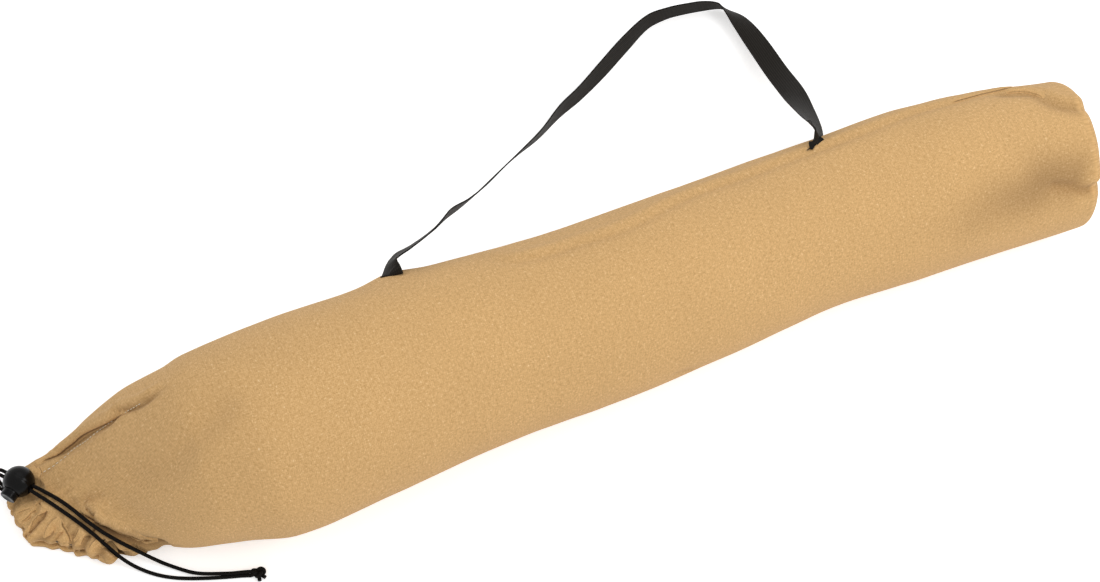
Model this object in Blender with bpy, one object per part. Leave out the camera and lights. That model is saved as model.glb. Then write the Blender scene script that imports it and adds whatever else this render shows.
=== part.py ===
# Play teepee packed in its carry bag, lying on a floor.
# Metres, +Z up, +X from the gathered mouth to the round base, z = 0 on the floor.
import bpy
import bmesh
from math import atan2, cos, floor, hypot, pi, radians, sin, sqrt, tau
from mathutils import Vector

# Gaps and cloth
SEAM_GAP = 0.0003
CLOTH = 0.0010

# Poles: four poles, each of an upper and a lower section
POLE_DIAMETER = 0.0180
POLE_SECTION_LENGTH = 0.700
POLE_EDGE = 0.0010
FIT = 0.0003
FITTING_WALL = 0.0007
FERRULE_LENGTH = 0.080
FOOT_DEPTH = 0.022
FOOT_FLOOR = 0.003

# Teepee cover, folded to the poles' length and rolled round them
ROLL_TURNS = 3
ROLL_STEPS = 24
ROLL_PLY_GAP = 0.02
ROLL_CLEARANCE = 0.0007
ROLL_END_INSET = 0.011

# Carry bag body: share of its length, thickness of the roll inside, sideways bow, turn
BODY_KEYS = (
    (0.00, 0.0335, 0.0030, radians(0.0)),
    (0.02, 0.0372, 0.0015, radians(0.0)),
    (0.07, 0.0428, -0.0050, radians(0.0)),
    (0.18, 0.0413, -0.0020, radians(0.0)),
    (0.29, 0.0373, 0.0020, radians(0.0)),
    (0.42, 0.0335, 0.0005, radians(0.0)),
    (0.56, 0.0323, 0.0025, radians(0.0)),
    (0.69, 0.0290, 0.0080, radians(0.0)),
    (0.82, 0.0303, 0.0060, radians(0.0)),
    (0.93, 0.0286, 0.0012, radians(-1.0)),
    (1.00, 0.0255, -0.0030, radians(-5.0)),
)
BASE_X = 0.335
END_SLACK = 0.009
FLAT_SHARE = 0.50
BASE_BULGE = 0.0160
BASE_BULGE_POWER = 2.8
BASE_MIDDLE_SHARE = 0.02

# Gathered mouth, pulled flat by its drawcord and turned towards the front
NECK_LENGTH = 0.1104
MOUTH_WIDTH = 0.100
MOUTH_GAP = 0.0050
MOUTH_TURN = radians(36.0)
MOUTH_SIDESTEP = 0.0195
MOUTH_BOW = 0.0160
BOW_LEAN = 0.35
HEM_DEPTH = 0.012
HEM_THICKNESS = 0.0054
HEM_WALL = 0.0009
# Neck stations: share of the neck's length, sidestep, turn, half width, height, bow
NECK_KEYS = (
    (0.83, 0.0215, radians(24.6), 0.0530, 0.0232, 0.011),
    (0.64, 0.0200, radians(20.0), 0.0585, 0.0430, 0.005),
    (0.49, 0.0150, radians(14.0), 0.0650, 0.0720, 0.001),
    (0.28, 0.0100, radians(7.0), 0.0700, 0.1040, 0.000),
)

# Shoulder strap of 20 mm webbing, sewn into the bag's seam at both ends
STRAP_WIDTH = 0.020
STRAP_THICKNESS = 0.0012
STRAP_LEFT_X = -0.227
STRAP_RIGHT_X = 0.129
STRAP_LEFT_TURN = radians(40.0)
STRAP_RIGHT_TURN = radians(57.0)
TAB_HEIGHT = 0.0020
TAB_SAG_ROOM = 0.0002
# Strap route: share of the way along the hinge line, share of the reach out from that line,
# height share from the floor to the hinge line, and roll of the webbing about its own way
STRAP_REACH = 0.2355
STRAP_KEYS = (
    (0.000, 0.0000, 1.000, radians(0.0)),
    (0.000, 0.0076, 1.004, radians(0.0)),
    (0.000, 0.0153, 1.008, radians(0.0)),
    (0.005, 0.0340, 1.012, radians(12.0)),
    (0.014, 0.0501, 1.010, radians(32.0)),
    (0.027, 0.0658, 0.998, radians(50.0)),
    (0.050, 0.0921, 0.955, radians(60.0)),
    (0.093, 0.1338, 0.863, radians(56.0)),
    (0.134, 0.1890, 0.753, radians(62.0)),
    (0.181, 0.2611, 0.624, radians(70.0)),
    (0.232, 0.3206, 0.495, radians(64.0)),
    (0.287, 0.3885, 0.375, radians(62.0)),
    (0.354, 0.4735, 0.260, radians(64.0)),
    (0.421, 0.5499, 0.173, radians(67.0)),
    (0.490, 0.6221, 0.099, radians(77.0)),
    (0.560, 0.7049, 0.048, radians(88.0)),
    (0.627, 0.7643, 0.020, radians(95.0)),
    (0.705, 0.8408, 0.008, radians(103.0)),
    (0.785, 0.9214, 0.004, radians(103.0)),
    (0.861, 0.9873, 0.002, radians(93.0)),
    (0.917, 1.0000, 0.001, radians(84.0)),
    (0.963, 0.9958, 0.001, radians(81.0)),
    (1.009, 0.9851, 0.001, radians(78.0)),
    (1.047, 0.9639, 0.003, radians(66.0)),
    (1.062, 0.9321, 0.006, radians(50.0)),
    (1.076, 0.8705, 0.014, radians(24.0)),
    (1.085, 0.7473, 0.053, radians(2.0)),
    (1.087, 0.5690, 0.155, radians(-4.0)),
    (1.080, 0.3949, 0.321, radians(4.0)),
    (1.069, 0.2633, 0.534, radians(14.0)),
    (1.054, 0.1741, 0.755, radians(22.0)),
    (1.037, 0.1168, 0.905, radians(26.0)),
    (1.020, 0.0743, 0.985, radians(24.0)),
    (1.007, 0.0416, 1.016, radians(12.0)),
    (1.000, 0.0187, 1.010, radians(1.0)),
    (1.000, 0.0093, 1.005, radians(0.0)),
    (1.000, 0.0000, 1.000, radians(0.0)),
)
STRAP_STEPS = 3

# Ball cord lock, heading along the cords towards their knot
BALL_DIAMETER = 0.0248
LOCK_HEADING = radians(-50.0)
LOCK_OVER_CORNER = 0.0123
LOCK_BESIDE_CORNER = 0.0110
LOCK_RIM = 0.0008
PLUNGER_DIAMETER = 0.0130
PLUNGER_EDGE = 0.0008
PLUNGER_PROUD = 0.0065
PLUNGER_TRAVEL = 0.0030
PLUNGER_FIT = 0.0003
PLUNGER_END_WALL = 0.0009
SLOT_SIDE_ROOM = 0.0025
SLOT_HEIGHT_ROOM = 0.0012
SPRING_DIAMETER = 0.0070
SPRING_WIRE = 0.0006
SPRING_TURNS = 3
SPRING_ROOM = 0.0030
SPRING_FIT = 0.0006

# Drawcord
CORD_DIAMETER = 0.0030
CORD_SPACING = 0.0040
CORD_POINT_STEP = 0.0075
# Loops from the hem's open end up into the lock: straight ends, how far each reaches out,
# and the angles of its points
LOOP_STRAIGHT = 0.0033
UPPER_LOOP_REACH = 0.0065
LOWER_LOOP_REACH = 0.0115
LOOP_ANGLES = (radians(-60.0), radians(-30.0), radians(0.0), radians(30.0), radians(60.0))
LOOP_CROSSED_AT = radians(45.0)
KNOT_SIZE = (0.0115, 0.0090, 0.0070)
KNOT_PLACE = (-0.3985, -0.0815)
KNOT_HEADING = radians(-21.0)
KNOT_CORD_SPREAD = 0.0036
KNOT_TIP_LENGTH = 0.0054
KNOT_TIP_TURNS = (radians(-82.0), radians(-36.0))
KNOT_END_SHARE = 0.08
# Cord routes from the lock to the knot, chosen along the photographed cords
UPPER_ROUTE = (
    (-0.5185, 0.0205, 0.0275),
    (-0.5137, 0.0097, 0.0262),
    (-0.5078, 0.0000, 0.0248),
    (-0.5018, -0.0100, 0.0232),
    (-0.4954, -0.0179, 0.0212),
    (-0.4887, -0.0248, 0.0180),
    (-0.4816, -0.0305, 0.0135),
    (-0.4740, -0.0370, 0.0075),
    (-0.4668, -0.0435, 0.0028),
    (-0.4590, -0.0512, 0.0018),
    (-0.4452, -0.0618, 0.0018),
    (-0.4335, -0.0665, 0.0018),
    (-0.4190, -0.0715, 0.0018),
)
LOWER_ROUTE = (
    (-0.5225, 0.0145, 0.0262),
    (-0.5165, 0.0060, 0.0245),
    (-0.5115, -0.0022, 0.0228),
    (-0.5060, -0.0105, 0.0210),
    (-0.5020, -0.0180, 0.0185),
    (-0.4978, -0.0255, 0.0140),
    (-0.4952, -0.0300, 0.0095),
    (-0.4915, -0.0345, 0.0045),
    (-0.4860, -0.0400, 0.0020),
    (-0.4800, -0.0460, 0.0018),
    (-0.4740, -0.0517, 0.0018),
    (-0.4672, -0.0571, 0.0018),
    (-0.4576, -0.0622, 0.0018),
    (-0.4478, -0.0660, 0.0018),
    (-0.4369, -0.0703, 0.0018),
    (-0.4210, -0.0758, 0.0018),
)

# Finishes: linear colour, roughness, metallic
CANVAS = ((0.53, 0.32, 0.13, 1.0), 0.90, 0.0)
HEM_CANVAS = ((0.42, 0.25, 0.10, 1.0), 0.90, 0.0)
COVER = ((0.72, 0.66, 0.55, 1.0), 0.90, 0.0)
WEBBING = ((0.018, 0.016, 0.014, 1.0), 0.65, 0.0)
PLASTIC = ((0.010, 0.010, 0.011, 1.0), 0.30, 0.0)
CORD = ((0.008, 0.008, 0.008, 1.0), 0.70, 0.0)
PINE = ((0.62, 0.42, 0.22, 1.0), 0.60, 0.0)
STEEL = ((0.55, 0.56, 0.58, 1.0), 0.35, 1.0)
RUBBER = ((0.030, 0.030, 0.030, 1.0), 0.80, 0.0)

# Sizes that follow from the ones above
UP = Vector((0.0, 0.0, 1.0))
FITTING_DIAMETER = POLE_DIAMETER + 2.0 * (FIT + FITTING_WALL)
POLE_PITCH = FITTING_DIAMETER + SEAM_GAP
ROW_HEIGHT = POLE_PITCH * sqrt(3.0) / 2.0
BUNDLE_RADIUS = hypot(POLE_PITCH, ROW_HEIGHT) + FITTING_DIAMETER / 2.0
ROLL_BORE = (BUNDLE_RADIUS + SEAM_GAP) / cos(pi / ROLL_STEPS)
CENTRE_SHARE = sqrt(1.0 - FLAT_SHARE**2)
BODY_LENGTH = POLE_SECTION_LENGTH + FERRULE_LENGTH / 2.0 + END_SLACK
BODY_START = BASE_X - BODY_LENGTH
HEM_RUN = (MOUTH_GAP + HEM_THICKNESS) / 2.0
MOUTH_HEIGHT = MOUTH_GAP + 2.0 * HEM_THICKNESS
HINGE_LIFT = SEAM_GAP + TAB_HEIGHT + SEAM_GAP + STRAP_THICKNESS / 2.0


def clear_scene():
    for item in list(bpy.data.objects):
        bpy.data.objects.remove(item, do_unlink=True)


def material(name, finish):
    colour, roughness, metallic = finish
    made = bpy.data.materials.new(name)
    made.use_nodes = True
    shader = made.node_tree.nodes["Principled BSDF"]
    shader.inputs["Base Color"].default_value = colour
    shader.inputs["Roughness"].default_value = roughness
    shader.inputs["Metallic"].default_value = metallic
    made.diffuse_color = colour
    return made


def add_mesh(name, points, faces, finish, origin=None):
    origin = origin or Vector((0.0, 0.0, 0.0))
    mesh = bpy.data.meshes.new(name)
    mesh.from_pydata([tuple(p - origin) for p in points], [], faces)
    shape = bmesh.new()
    shape.from_mesh(mesh)
    bmesh.ops.recalc_face_normals(shape, faces=shape.faces)
    shape.to_mesh(mesh)
    shape.free()
    mesh.shade_smooth()
    mesh.set_sharp_from_angle(angle=radians(40.0))
    mesh.materials.append(material(name, finish))
    item = bpy.data.objects.new(name, mesh)
    item.location = origin
    bpy.context.scene.collection.objects.link(item)
    return item


def smooth_through(keys, place):
    # Cubic curve through keys of (place, values...), with slopes from the keys beside each one
    last = len(keys) - 1
    at = 0
    while at < last - 1 and place > keys[at + 1][0]:
        at += 1
    before = keys[max(at - 1, 0)]
    start = keys[at]
    end = keys[at + 1]
    after = keys[min(at + 2, last)]
    span = end[0] - start[0]
    t = (place - start[0]) / span
    values = []
    for k in range(1, len(start)):
        slope_in = (end[k] - before[k]) / (end[0] - before[0]) * span
        slope_out = (after[k] - start[k]) / (after[0] - start[0]) * span
        rise = end[k] - start[k]
        values.append(
            start[k]
            + slope_in * t
            + (3.0 * rise - 2.0 * slope_in - slope_out) * t**2
            + (slope_in + slope_out - 2.0 * rise) * t**3
        )
    return values


def ring_faces(rings, around, closed_ends=False, closed_loop=False):
    # Quads between rings of points, each ring closed on itself
    faces = []
    pairs = rings if closed_loop else rings - 1
    for i in range(pairs):
        a = i * around
        b = ((i + 1) % rings) * around
        for j in range(around):
            k = (j + 1) % around
            faces.append((a + j, a + k, b + k, b + j))
    if closed_ends:
        faces.append(tuple(range(around))[::-1])
        faces.append(tuple((rings - 1) * around + j for j in range(around)))
    return faces


# Section of the bag at any place along it


def body_station(share):
    # Centre x and y, turn, half width, height and bow of the section
    thickness, side, turn = smooth_through(BODY_KEYS, share)
    radius = BUNDLE_RADIUS + SEAM_GAP + thickness + ROLL_CLEARANCE + CLOTH
    x = BODY_START + share * BODY_LENGTH
    return (x, side, turn, radius, radius * (1.0 + CENTRE_SHARE), 0.0)


def neck_stations():
    # From the mouth to the body's first stations
    stations = [(1.0, MOUTH_SIDESTEP, MOUTH_TURN, MOUTH_WIDTH / 2.0, MOUTH_HEIGHT, MOUTH_BOW)]
    stations += list(NECK_KEYS)
    for share in (0.0, 0.03):
        place = -share * BODY_LENGTH / NECK_LENGTH
        stations.append((place, *body_station(share)[1:]))
    return sorted(stations)


def station_at(x):
    if x >= BODY_START:
        return body_station((x - BODY_START) / BODY_LENGTH)
    return (x, *smooth_through(neck_stations(), (BODY_START - x) / NECK_LENGTH))


def bow_ahead(bow, across, half):
    # How far the rim runs out beyond the straight line between its corners
    share = across / half
    return bow * max(0.0, 1.0 - share**2) ** 1.5 * (1.0 + BOW_LEAN * share)


def section_point(station, angle, inset=0.0):
    # A circle or oval that is cut flat where it rests on the floor
    x, side, turn, half, height, bow = station
    upright = height / (1.0 + CENTRE_SHARE)
    across = (half - inset) * cos(angle)
    ahead = bow_ahead(bow, across, half)
    z = max(inset, upright * CENTRE_SHARE + (upright - inset) * sin(angle))
    return Vector((x - sin(turn) * across - cos(turn) * ahead, side + cos(turn) * across - sin(turn) * ahead, z))


def section_ring(station, count, inset=0.0, shrink=1.0):
    ring = []
    middle = Vector((station[0], station[1], station[4] / 2.0))
    for j in range(count):
        point = section_point(station, tau * (j + 0.5) / count, inset)
        ring.append(middle + (point - middle) * shrink)
    return ring


# Carry bag

AROUND = 44


def bag_places():
    neck = [BODY_START - NECK_LENGTH * k / 9.0 for k in range(9, 0, -1)]
    body = [BODY_START + BODY_LENGTH * k / 18.0 for k in range(19)]
    return neck + body


def make_bag_shell():
    places = bag_places()
    points = []
    for x in places:
        points += section_ring(station_at(x), AROUND)
    for x in reversed(places):
        points += section_ring(station_at(x), AROUND, CLOTH)
    faces = ring_faces(2 * len(places), AROUND, closed_loop=True)
    return add_mesh("bag_shell", points, faces, CANVAS)


def base_ring(depth_share, inset):
    # One ring of the bulging base panel, from its rim (0) to near its middle (1)
    station = station_at(BASE_X)
    across = 1.0 - depth_share
    bulge = (BASE_BULGE - inset) * (1.0 - across**BASE_BULGE_POWER) ** (1.0 / BASE_BULGE_POWER)
    shrink = max(across, BASE_MIDDLE_SHARE)
    points = section_ring(station, AROUND, inset, shrink)
    out = Vector((cos(station[2]), sin(station[2]), 0.0)) * (SEAM_GAP + bulge)
    return [p + out for p in points]


def make_bag_base():
    steps = (0.0, 0.015, 0.05, 0.12, 0.24, 0.42, 0.68, 1.0)
    outer = [base_ring(s, 0.0) for s in steps]
    inner = [base_ring(s, CLOTH) for s in steps]
    points = []
    for ring in reversed(outer):
        points += ring
    for ring in inner:
        points += ring
    faces = ring_faces(2 * len(steps), AROUND, closed_ends=True)
    return add_mesh("bag_base", points, faces, CANVAS)


def mouth_frame():
    # Middle of the mouth, its outward direction and the direction to its back corner
    middle = Vector((BODY_START - NECK_LENGTH, MOUTH_SIDESTEP, 0.0))
    outward = Vector((-cos(MOUTH_TURN), -sin(MOUTH_TURN), 0.0))
    corner = Vector((-sin(MOUTH_TURN), cos(MOUTH_TURN), 0.0))
    return middle, outward, corner


def hem_line(bend_steps=8, run_steps=10):
    # Across and height offsets of the hem's middle line: along the top to the front corner,
    # round it and back along the bottom
    reach = (MOUTH_WIDTH - HEM_THICKNESS) / 2.0
    flat = reach - HEM_RUN
    line = []
    for k in range(run_steps):
        line.append((reach - (reach + flat) * k / run_steps, HEM_RUN))
    for k in range(bend_steps + 1):
        angle = pi / 2.0 + pi * k / bend_steps
        line.append((-flat + HEM_RUN * cos(angle), HEM_RUN * sin(angle)))
    for k in range(1, run_steps + 1):
        line.append((-flat + (reach + flat) * k / run_steps, -HEM_RUN))
    return line


def hem_point(across, height, depth=0.0):
    middle, outward, corner = mouth_frame()
    ahead = bow_ahead(MOUTH_BOW, across, MOUTH_WIDTH / 2.0) + SEAM_GAP + HEM_DEPTH / 2.0 + depth
    return middle + outward * ahead + corner * across + UP * (MOUTH_HEIGHT / 2.0 + height)


def hem_path():
    return [hem_point(across, height) for across, height in hem_line()]


def rounded_profile(depth, thickness, corner_share=0.42):
    # Eight-sided rounded rectangle, depth along the first axis
    a = depth / 2.0
    b = thickness / 2.0
    c = b * corner_share
    upper = [(a, b - c), (a - c, b), (c - a, b), (-a, b - c)]
    return upper + [(-x, -y) for x, y in upper]


def make_drawcord_hem():
    line = hem_line()
    outer_profile = rounded_profile(HEM_DEPTH, HEM_THICKNESS)
    inner_profile = rounded_profile(HEM_DEPTH - 2.0 * HEM_WALL, HEM_THICKNESS - 2.0 * HEM_WALL)
    rings = []
    for profile in (outer_profile, inner_profile):
        side_rings = []
        for i, (across, height) in enumerate(line):
            before = line[max(i - 1, 0)]
            after = line[min(i + 1, len(line) - 1)]
            along = Vector((after[0] - before[0], after[1] - before[1])).normalized()
            ring = [hem_point(across + along.y * t, height - along.x * t, d) for d, t in profile]
            side_rings.append(ring)
        rings.append(side_rings)
    ordered = rings[0] + rings[1][::-1]
    points = [p for ring in ordered for p in ring]
    faces = ring_faces(len(ordered), 8, closed_loop=True)
    return add_mesh("drawcord_hem", points, faces, HEM_CANVAS)


# Poles, ferrules and feet


def bundle_places():
    # Three, two and three sections, packed like logs: y and z offsets from the bundle's middle
    places = []
    for row, count in ((-1, 3), (0, 2), (1, 3)):
        for k in range(count):
            places.append(((k - (count - 1) / 2.0) * POLE_PITCH, row * ROW_HEIGHT))
    return places


def bundle_height():
    return station_at(BASE_X)[4] * CENTRE_SHARE / (1.0 + CENTRE_SHARE)


def turned(name, profile, origin, finish, sides=24):
    # Body of revolution about X. profile lists (x, radius) round the whole cut outline
    points = []
    solid = profile[0][1] == 0.0
    rows = profile[1:-1] if solid else profile
    for x, radius in rows:
        for j in range(sides):
            angle = tau * j / sides
            points.append(origin + Vector((x, radius * cos(angle), radius * sin(angle))))
    faces = ring_faces(len(rows), sides, closed_ends=solid, closed_loop=not solid)
    return add_mesh(name, points, faces, finish)


def make_poles():
    pole = POLE_DIAMETER / 2.0
    sleeve = pole + FIT
    outside = FITTING_DIAMETER / 2.0
    tip = BASE_X - END_SLACK
    foot_room = FOOT_FLOOR + FIT
    for k, (y, z) in enumerate(bundle_places()):
        lower = k % 2 == 0
        number = k // 2 + 1
        origin = Vector((tip, y, bundle_height() + z))
        end = -foot_room if lower else 0.0
        start = end - POLE_SECTION_LENGTH
        profile = [(start, 0.0), (start, pole - POLE_EDGE), (start + POLE_EDGE, pole)]
        profile += [(end - POLE_EDGE, pole), (end, pole - POLE_EDGE), (end, 0.0)]
        name = "lower_pole_%d" if lower else "upper_pole_%d"
        turned(name % number, profile, origin, PINE)
        if lower:
            mouth = end - FOOT_DEPTH
            cup = [(end + FIT, 0.0), (end + FIT, sleeve), (mouth, sleeve), (mouth, outside)]
            cup += [(end + foot_room, outside), (end + foot_room, 0.0)]
            turned("rubber_foot_%d" % number, cup, origin, RUBBER)
        else:
            left = start - FERRULE_LENGTH / 2.0
            right = start + FERRULE_LENGTH / 2.0
            tube = [(left, sleeve), (left, outside), (right, outside), (right, sleeve)]
            turned("ferrule_%d" % number, tube, origin, STEEL)


# Rolled teepee cover


def room_round_bundle(station, angle):
    # Distance from the bundle's middle to the bag's inner face, at an angle in the section
    height = bundle_height()
    radius = station[3] - CLOTH - ROLL_CLEARANCE
    off_y = -station[1]
    off_z = height - station[3] * CENTRE_SHARE
    along = off_y * cos(angle) + off_z * sin(angle)
    reach = -along + sqrt(along**2 + radius**2 - off_y**2 - off_z**2)
    drop = height - CLOTH - ROLL_CLEARANCE
    if sin(angle) < 0.0:
        reach = min(reach, drop / -sin(angle))
    return reach


def make_teepee_cover():
    first = BODY_START + END_SLACK
    last = BASE_X - ROLL_END_INSET
    rings_along = 12
    pitch = (1.0 + ROLL_PLY_GAP) / (ROLL_TURNS + 1)
    ply = pitch - ROLL_PLY_GAP
    steps = ROLL_TURNS * ROLL_STEPS
    outline = []
    for k in range(steps + 1):
        # The first turn lies tight on the bundle, so the bore stays round
        outline.append((k, 0.0 if k < ROLL_STEPS else pitch * k / ROLL_STEPS))
    for k in range(steps, -1, -1):
        outline.append((k, pitch * k / ROLL_STEPS + ply))
    points = []
    for i in range(rings_along):
        x = first + (last - first) * i / (rings_along - 1)
        station = station_at(x)
        for k, share in outline:
            angle = tau * k / ROLL_STEPS - pi / 2.0
            room = room_round_bundle(station, angle) - ROLL_BORE
            reach = ROLL_BORE + share * room
            middle = Vector((x, 0.0, bundle_height()))
            points.append(middle + Vector((0.0, cos(angle), sin(angle))) * reach)
    count = len(outline)
    faces = ring_faces(rings_along, count)
    for start in (0, (rings_along - 1) * count):
        for k in range(steps):
            other = count - 1 - k
            faces.append((start + k, start + k + 1, start + other - 1, start + other))
    return add_mesh("teepee_cover", points, faces, COVER)


# Shoulder strap


def strap_anchor(x, turn):
    # Outer face of the bag on the seam, and the direction away from it
    surface = section_point(station_at(x), turn)
    away = Vector((0.0, cos(turn), sin(turn)))
    return surface, away


def hinge_ends():
    left, left_away = strap_anchor(STRAP_LEFT_X, STRAP_LEFT_TURN)
    right, right_away = strap_anchor(STRAP_RIGHT_X, STRAP_RIGHT_TURN)
    return left + left_away * HINGE_LIFT, right + right_away * HINGE_LIFT


def make_tab(name, x, turn):
    # Sewn-in end of the webbing, standing on the seam under the hinge line
    left, right = hinge_ends()
    axis = (right - left).normalized()
    centre, away = strap_anchor(x, turn)
    top_centre = centre + away * (SEAM_GAP + TAB_HEIGHT)
    thick = axis.cross(away).normalized() * (STRAP_THICKNESS / 2.0)
    points = []
    for side in (-1.0, 1.0):
        offset = axis * (side * STRAP_WIDTH / 2.0)
        foot, foot_away = strap_anchor(x + offset.x, turn)
        low = foot + foot_away * (SEAM_GAP + TAB_SAG_ROOM)
        high = top_centre + offset
        points += [low - thick, low + thick, high + thick, high - thick]
    faces = ring_faces(2, 4, closed_ends=True)
    return add_mesh(name, points, faces, WEBBING)


def strap_sections():
    # Centre, way and width direction of each section of the strap
    left, right = hinge_ends()
    out_way = UP.cross(right - left).normalized()
    low = STRAP_WIDTH / 2.0 + SEAM_GAP
    keys = []
    for i, (share, out, rise, roll) in enumerate(STRAP_KEYS):
        base = left.lerp(right, share)
        point = base + out_way * (out * STRAP_REACH)
        point.z = low + rise * (base.z - low)
        travelled = 0.0 if i == 0 else travelled + (point - previous).length
        previous = point
        keys.append((travelled, *point, roll))
    rows = []
    for key, after in zip(keys, keys[1:]):
        for k in range(STRAP_STEPS):
            rows.append(smooth_through(keys, key[0] + (after[0] - key[0]) * k / STRAP_STEPS))
    rows.append(smooth_through(keys, keys[-1][0]))
    centres = [Vector(row[:3]) for row in rows]
    sections = []
    for i, row in enumerate(rows):
        along = (centres[min(i + 1, len(rows) - 1)] - centres[max(i - 1, 0)]).normalized()
        level = along.cross(UP).normalized()
        width = level * cos(row[3]) + level.cross(along) * sin(row[3])
        sections.append((centres[i], along, width))
    return sections


def make_strap():
    sections = strap_sections()
    half = STRAP_THICKNESS / 2.0
    # Each end is rounded about the hinge line
    nose = []
    tail = []
    for turn in (radians(75.0), radians(45.0), radians(20.0)):
        centre, along, width = sections[0]
        nose.append((centre - along * half * sin(turn), along, width, half * cos(turn)))
        centre, along, width = sections[-1]
        tail.insert(0, (centre + along * half * sin(turn), along, width, half * cos(turn)))
    rows = nose + [(*section, half) for section in sections] + tail
    points = []
    for centre, along, width, thick in rows:
        side = width * (STRAP_WIDTH / 2.0)
        normal = along.cross(width) * thick
        points += [centre - side - normal, centre + side - normal]
        points += [centre + side + normal, centre - side + normal]
    faces = ring_faces(len(rows), 4, closed_ends=True)
    return add_mesh("shoulder_strap", points, faces, WEBBING, origin=hinge_ends()[0])


# Ball cord lock


def lock_frame():
    # Centre of the ball, the way the cords run through it and the way the plunger points
    middle, outward, corner = mouth_frame()
    run = Vector((cos(LOCK_HEADING), sin(LOCK_HEADING), 0.0))
    press = Vector((sin(LOCK_HEADING), -cos(LOCK_HEADING), 0.0))
    centre = middle + corner * (MOUTH_WIDTH / 2.0 - LOCK_BESIDE_CORNER)
    centre += outward * (HEM_DEPTH - LOCK_OVER_CORNER)
    centre.z = MOUTH_HEIGHT + SEAM_GAP + BALL_DIAMETER / 2.0
    return centre, run, press


def slot_half():
    # Half the slot's length along the plunger, and half its height
    long_half = CORD_SPACING / 2.0 + CORD_DIAMETER / 2.0 + SLOT_SIDE_ROOM / 2.0
    return long_half, (CORD_DIAMETER + SLOT_HEIGHT_ROOM) / 2.0


def place_in_lock(item):
    # Modelled along X for the plunger, Y for the cords, then turned into the lock's place
    centre, run, press = lock_frame()
    item.location = centre
    item.rotation_euler = (0.0, 0.0, atan2(press.y, press.x))


def cut(item, name, points, faces):
    # Takes a guide shape, modelled in the lock's own axes, out of an item
    guide = add_mesh(name, points, faces, PLASTIC)
    guide.hide_render = True
    guide.display_type = "WIRE"
    place_in_lock(guide)
    step = item.modifiers.new(name, "BOOLEAN")
    step.operation = "DIFFERENCE"
    step.solver = "EXACT"
    step.object = guide


def cut_bore(item, name, radius, start, end, sides=36):
    points = []
    for x in (start, end):
        for j in range(sides):
            angle = tau * j / sides
            points.append(Vector((x, radius * cos(angle), radius * sin(angle))))
    cut(item, name, points, ring_faces(2, sides, closed_ends=True))


def cut_slot(item, name, low, high):
    # Oval slot for the two cords, from low to high along the plunger
    half_height = slot_half()[1]
    outline = []
    for k in range(9):
        angle = -pi / 2.0 + pi * k / 8.0
        outline.append((high - half_height + half_height * cos(angle), half_height * sin(angle)))
    for k in range(9):
        angle = pi / 2.0 + pi * k / 8.0
        outline.append((low + half_height + half_height * cos(angle), half_height * sin(angle)))
    points = []
    for y in (-BALL_DIAMETER, BALL_DIAMETER):
        points += [Vector((x, y, z)) for x, z in outline]
    cut(item, name, points, ring_faces(2, len(outline), closed_ends=True))


def plunger_inner_end():
    return -slot_half()[0] - PLUNGER_END_WALL


def bore_floor():
    return plunger_inner_end() - PLUNGER_TRAVEL - SEAM_GAP


def spring_floor():
    return bore_floor() - SPRING_ROOM + PLUNGER_END_WALL


def make_lock():
    ball = BALL_DIAMETER / 2.0
    plunger = PLUNGER_DIAMETER / 2.0
    bore = plunger + PLUNGER_FIT
    face = sqrt(ball**2 - (bore + LOCK_RIM) ** 2)
    long_half = slot_half()[0]
    here = Vector((0.0, 0.0, 0.0))
    turn_steps = 15
    rows = []
    for k in range(1, turn_steps):
        x = -ball * cos(pi * k / turn_steps)
        if x < face:
            rows.append((x, sqrt(ball**2 - x**2)))
    rows.append((face, sqrt(ball**2 - face**2)))
    barrel = turned("lock_barrel", [(-ball, 0.0)] + rows + [(face, 0.0)], here, PLASTIC, sides=32)
    place_in_lock(barrel)
    cut_bore(barrel, "barrel_bore", bore, bore_floor(), BALL_DIAMETER)
    cut_bore(barrel, "spring_pocket", SPRING_DIAMETER / 2.0 + SPRING_FIT, spring_floor(), 0.0)
    cut_slot(barrel, "barrel_slot", -long_half, long_half)

    start = plunger_inner_end()
    end = face + PLUNGER_PROUD
    edge = PLUNGER_EDGE
    shape = [(start, 0.0), (start, plunger - edge / 2.0), (start + edge / 2.0, plunger)]
    shape += [(end - edge, plunger), (end, plunger - edge), (end, 0.0)]
    button = turned("lock_plunger", shape, here, PLASTIC, sides=32)
    place_in_lock(button)
    cut_slot(button, "plunger_slot", -long_half, long_half + PLUNGER_TRAVEL)

    low = spring_floor() + SPRING_WIRE / 2.0 + SEAM_GAP
    high = plunger_inner_end() - SPRING_WIRE / 2.0 - SEAM_GAP
    radius = (SPRING_DIAMETER - SPRING_WIRE) / 2.0
    steps = SPRING_TURNS * 10
    coil = []
    for k in range(steps + 1):
        angle = tau * k / 10.0
        coil.append(Vector((low + (high - low) * k / steps, radius * cos(angle), radius * sin(angle))))
    place_in_lock(add_tube("lock_spring", coil, SPRING_WIRE, STEEL, resolution=1))
    turn_gap = (high - low) / SPRING_TURNS - SPRING_WIRE
    print("spring: least gap between turns %.2f mm" % (turn_gap * 1000.0))


# Drawcord


def add_tube(name, points, diameter, finish, resolution=2):
    curve = bpy.data.curves.new(name, "CURVE")
    curve.dimensions = "3D"
    curve.bevel_depth = diameter / 2.0
    curve.bevel_resolution = resolution
    curve.use_fill_caps = True
    line = curve.splines.new("POLY")
    line.points.add(len(points) - 1)
    for slot, point in zip(line.points, points):
        slot.co = (*point, 1.0)
    curve.materials.append(material(name, finish))
    item = bpy.data.objects.new(name, curve)
    bpy.context.scene.collection.objects.link(item)
    return item


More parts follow.
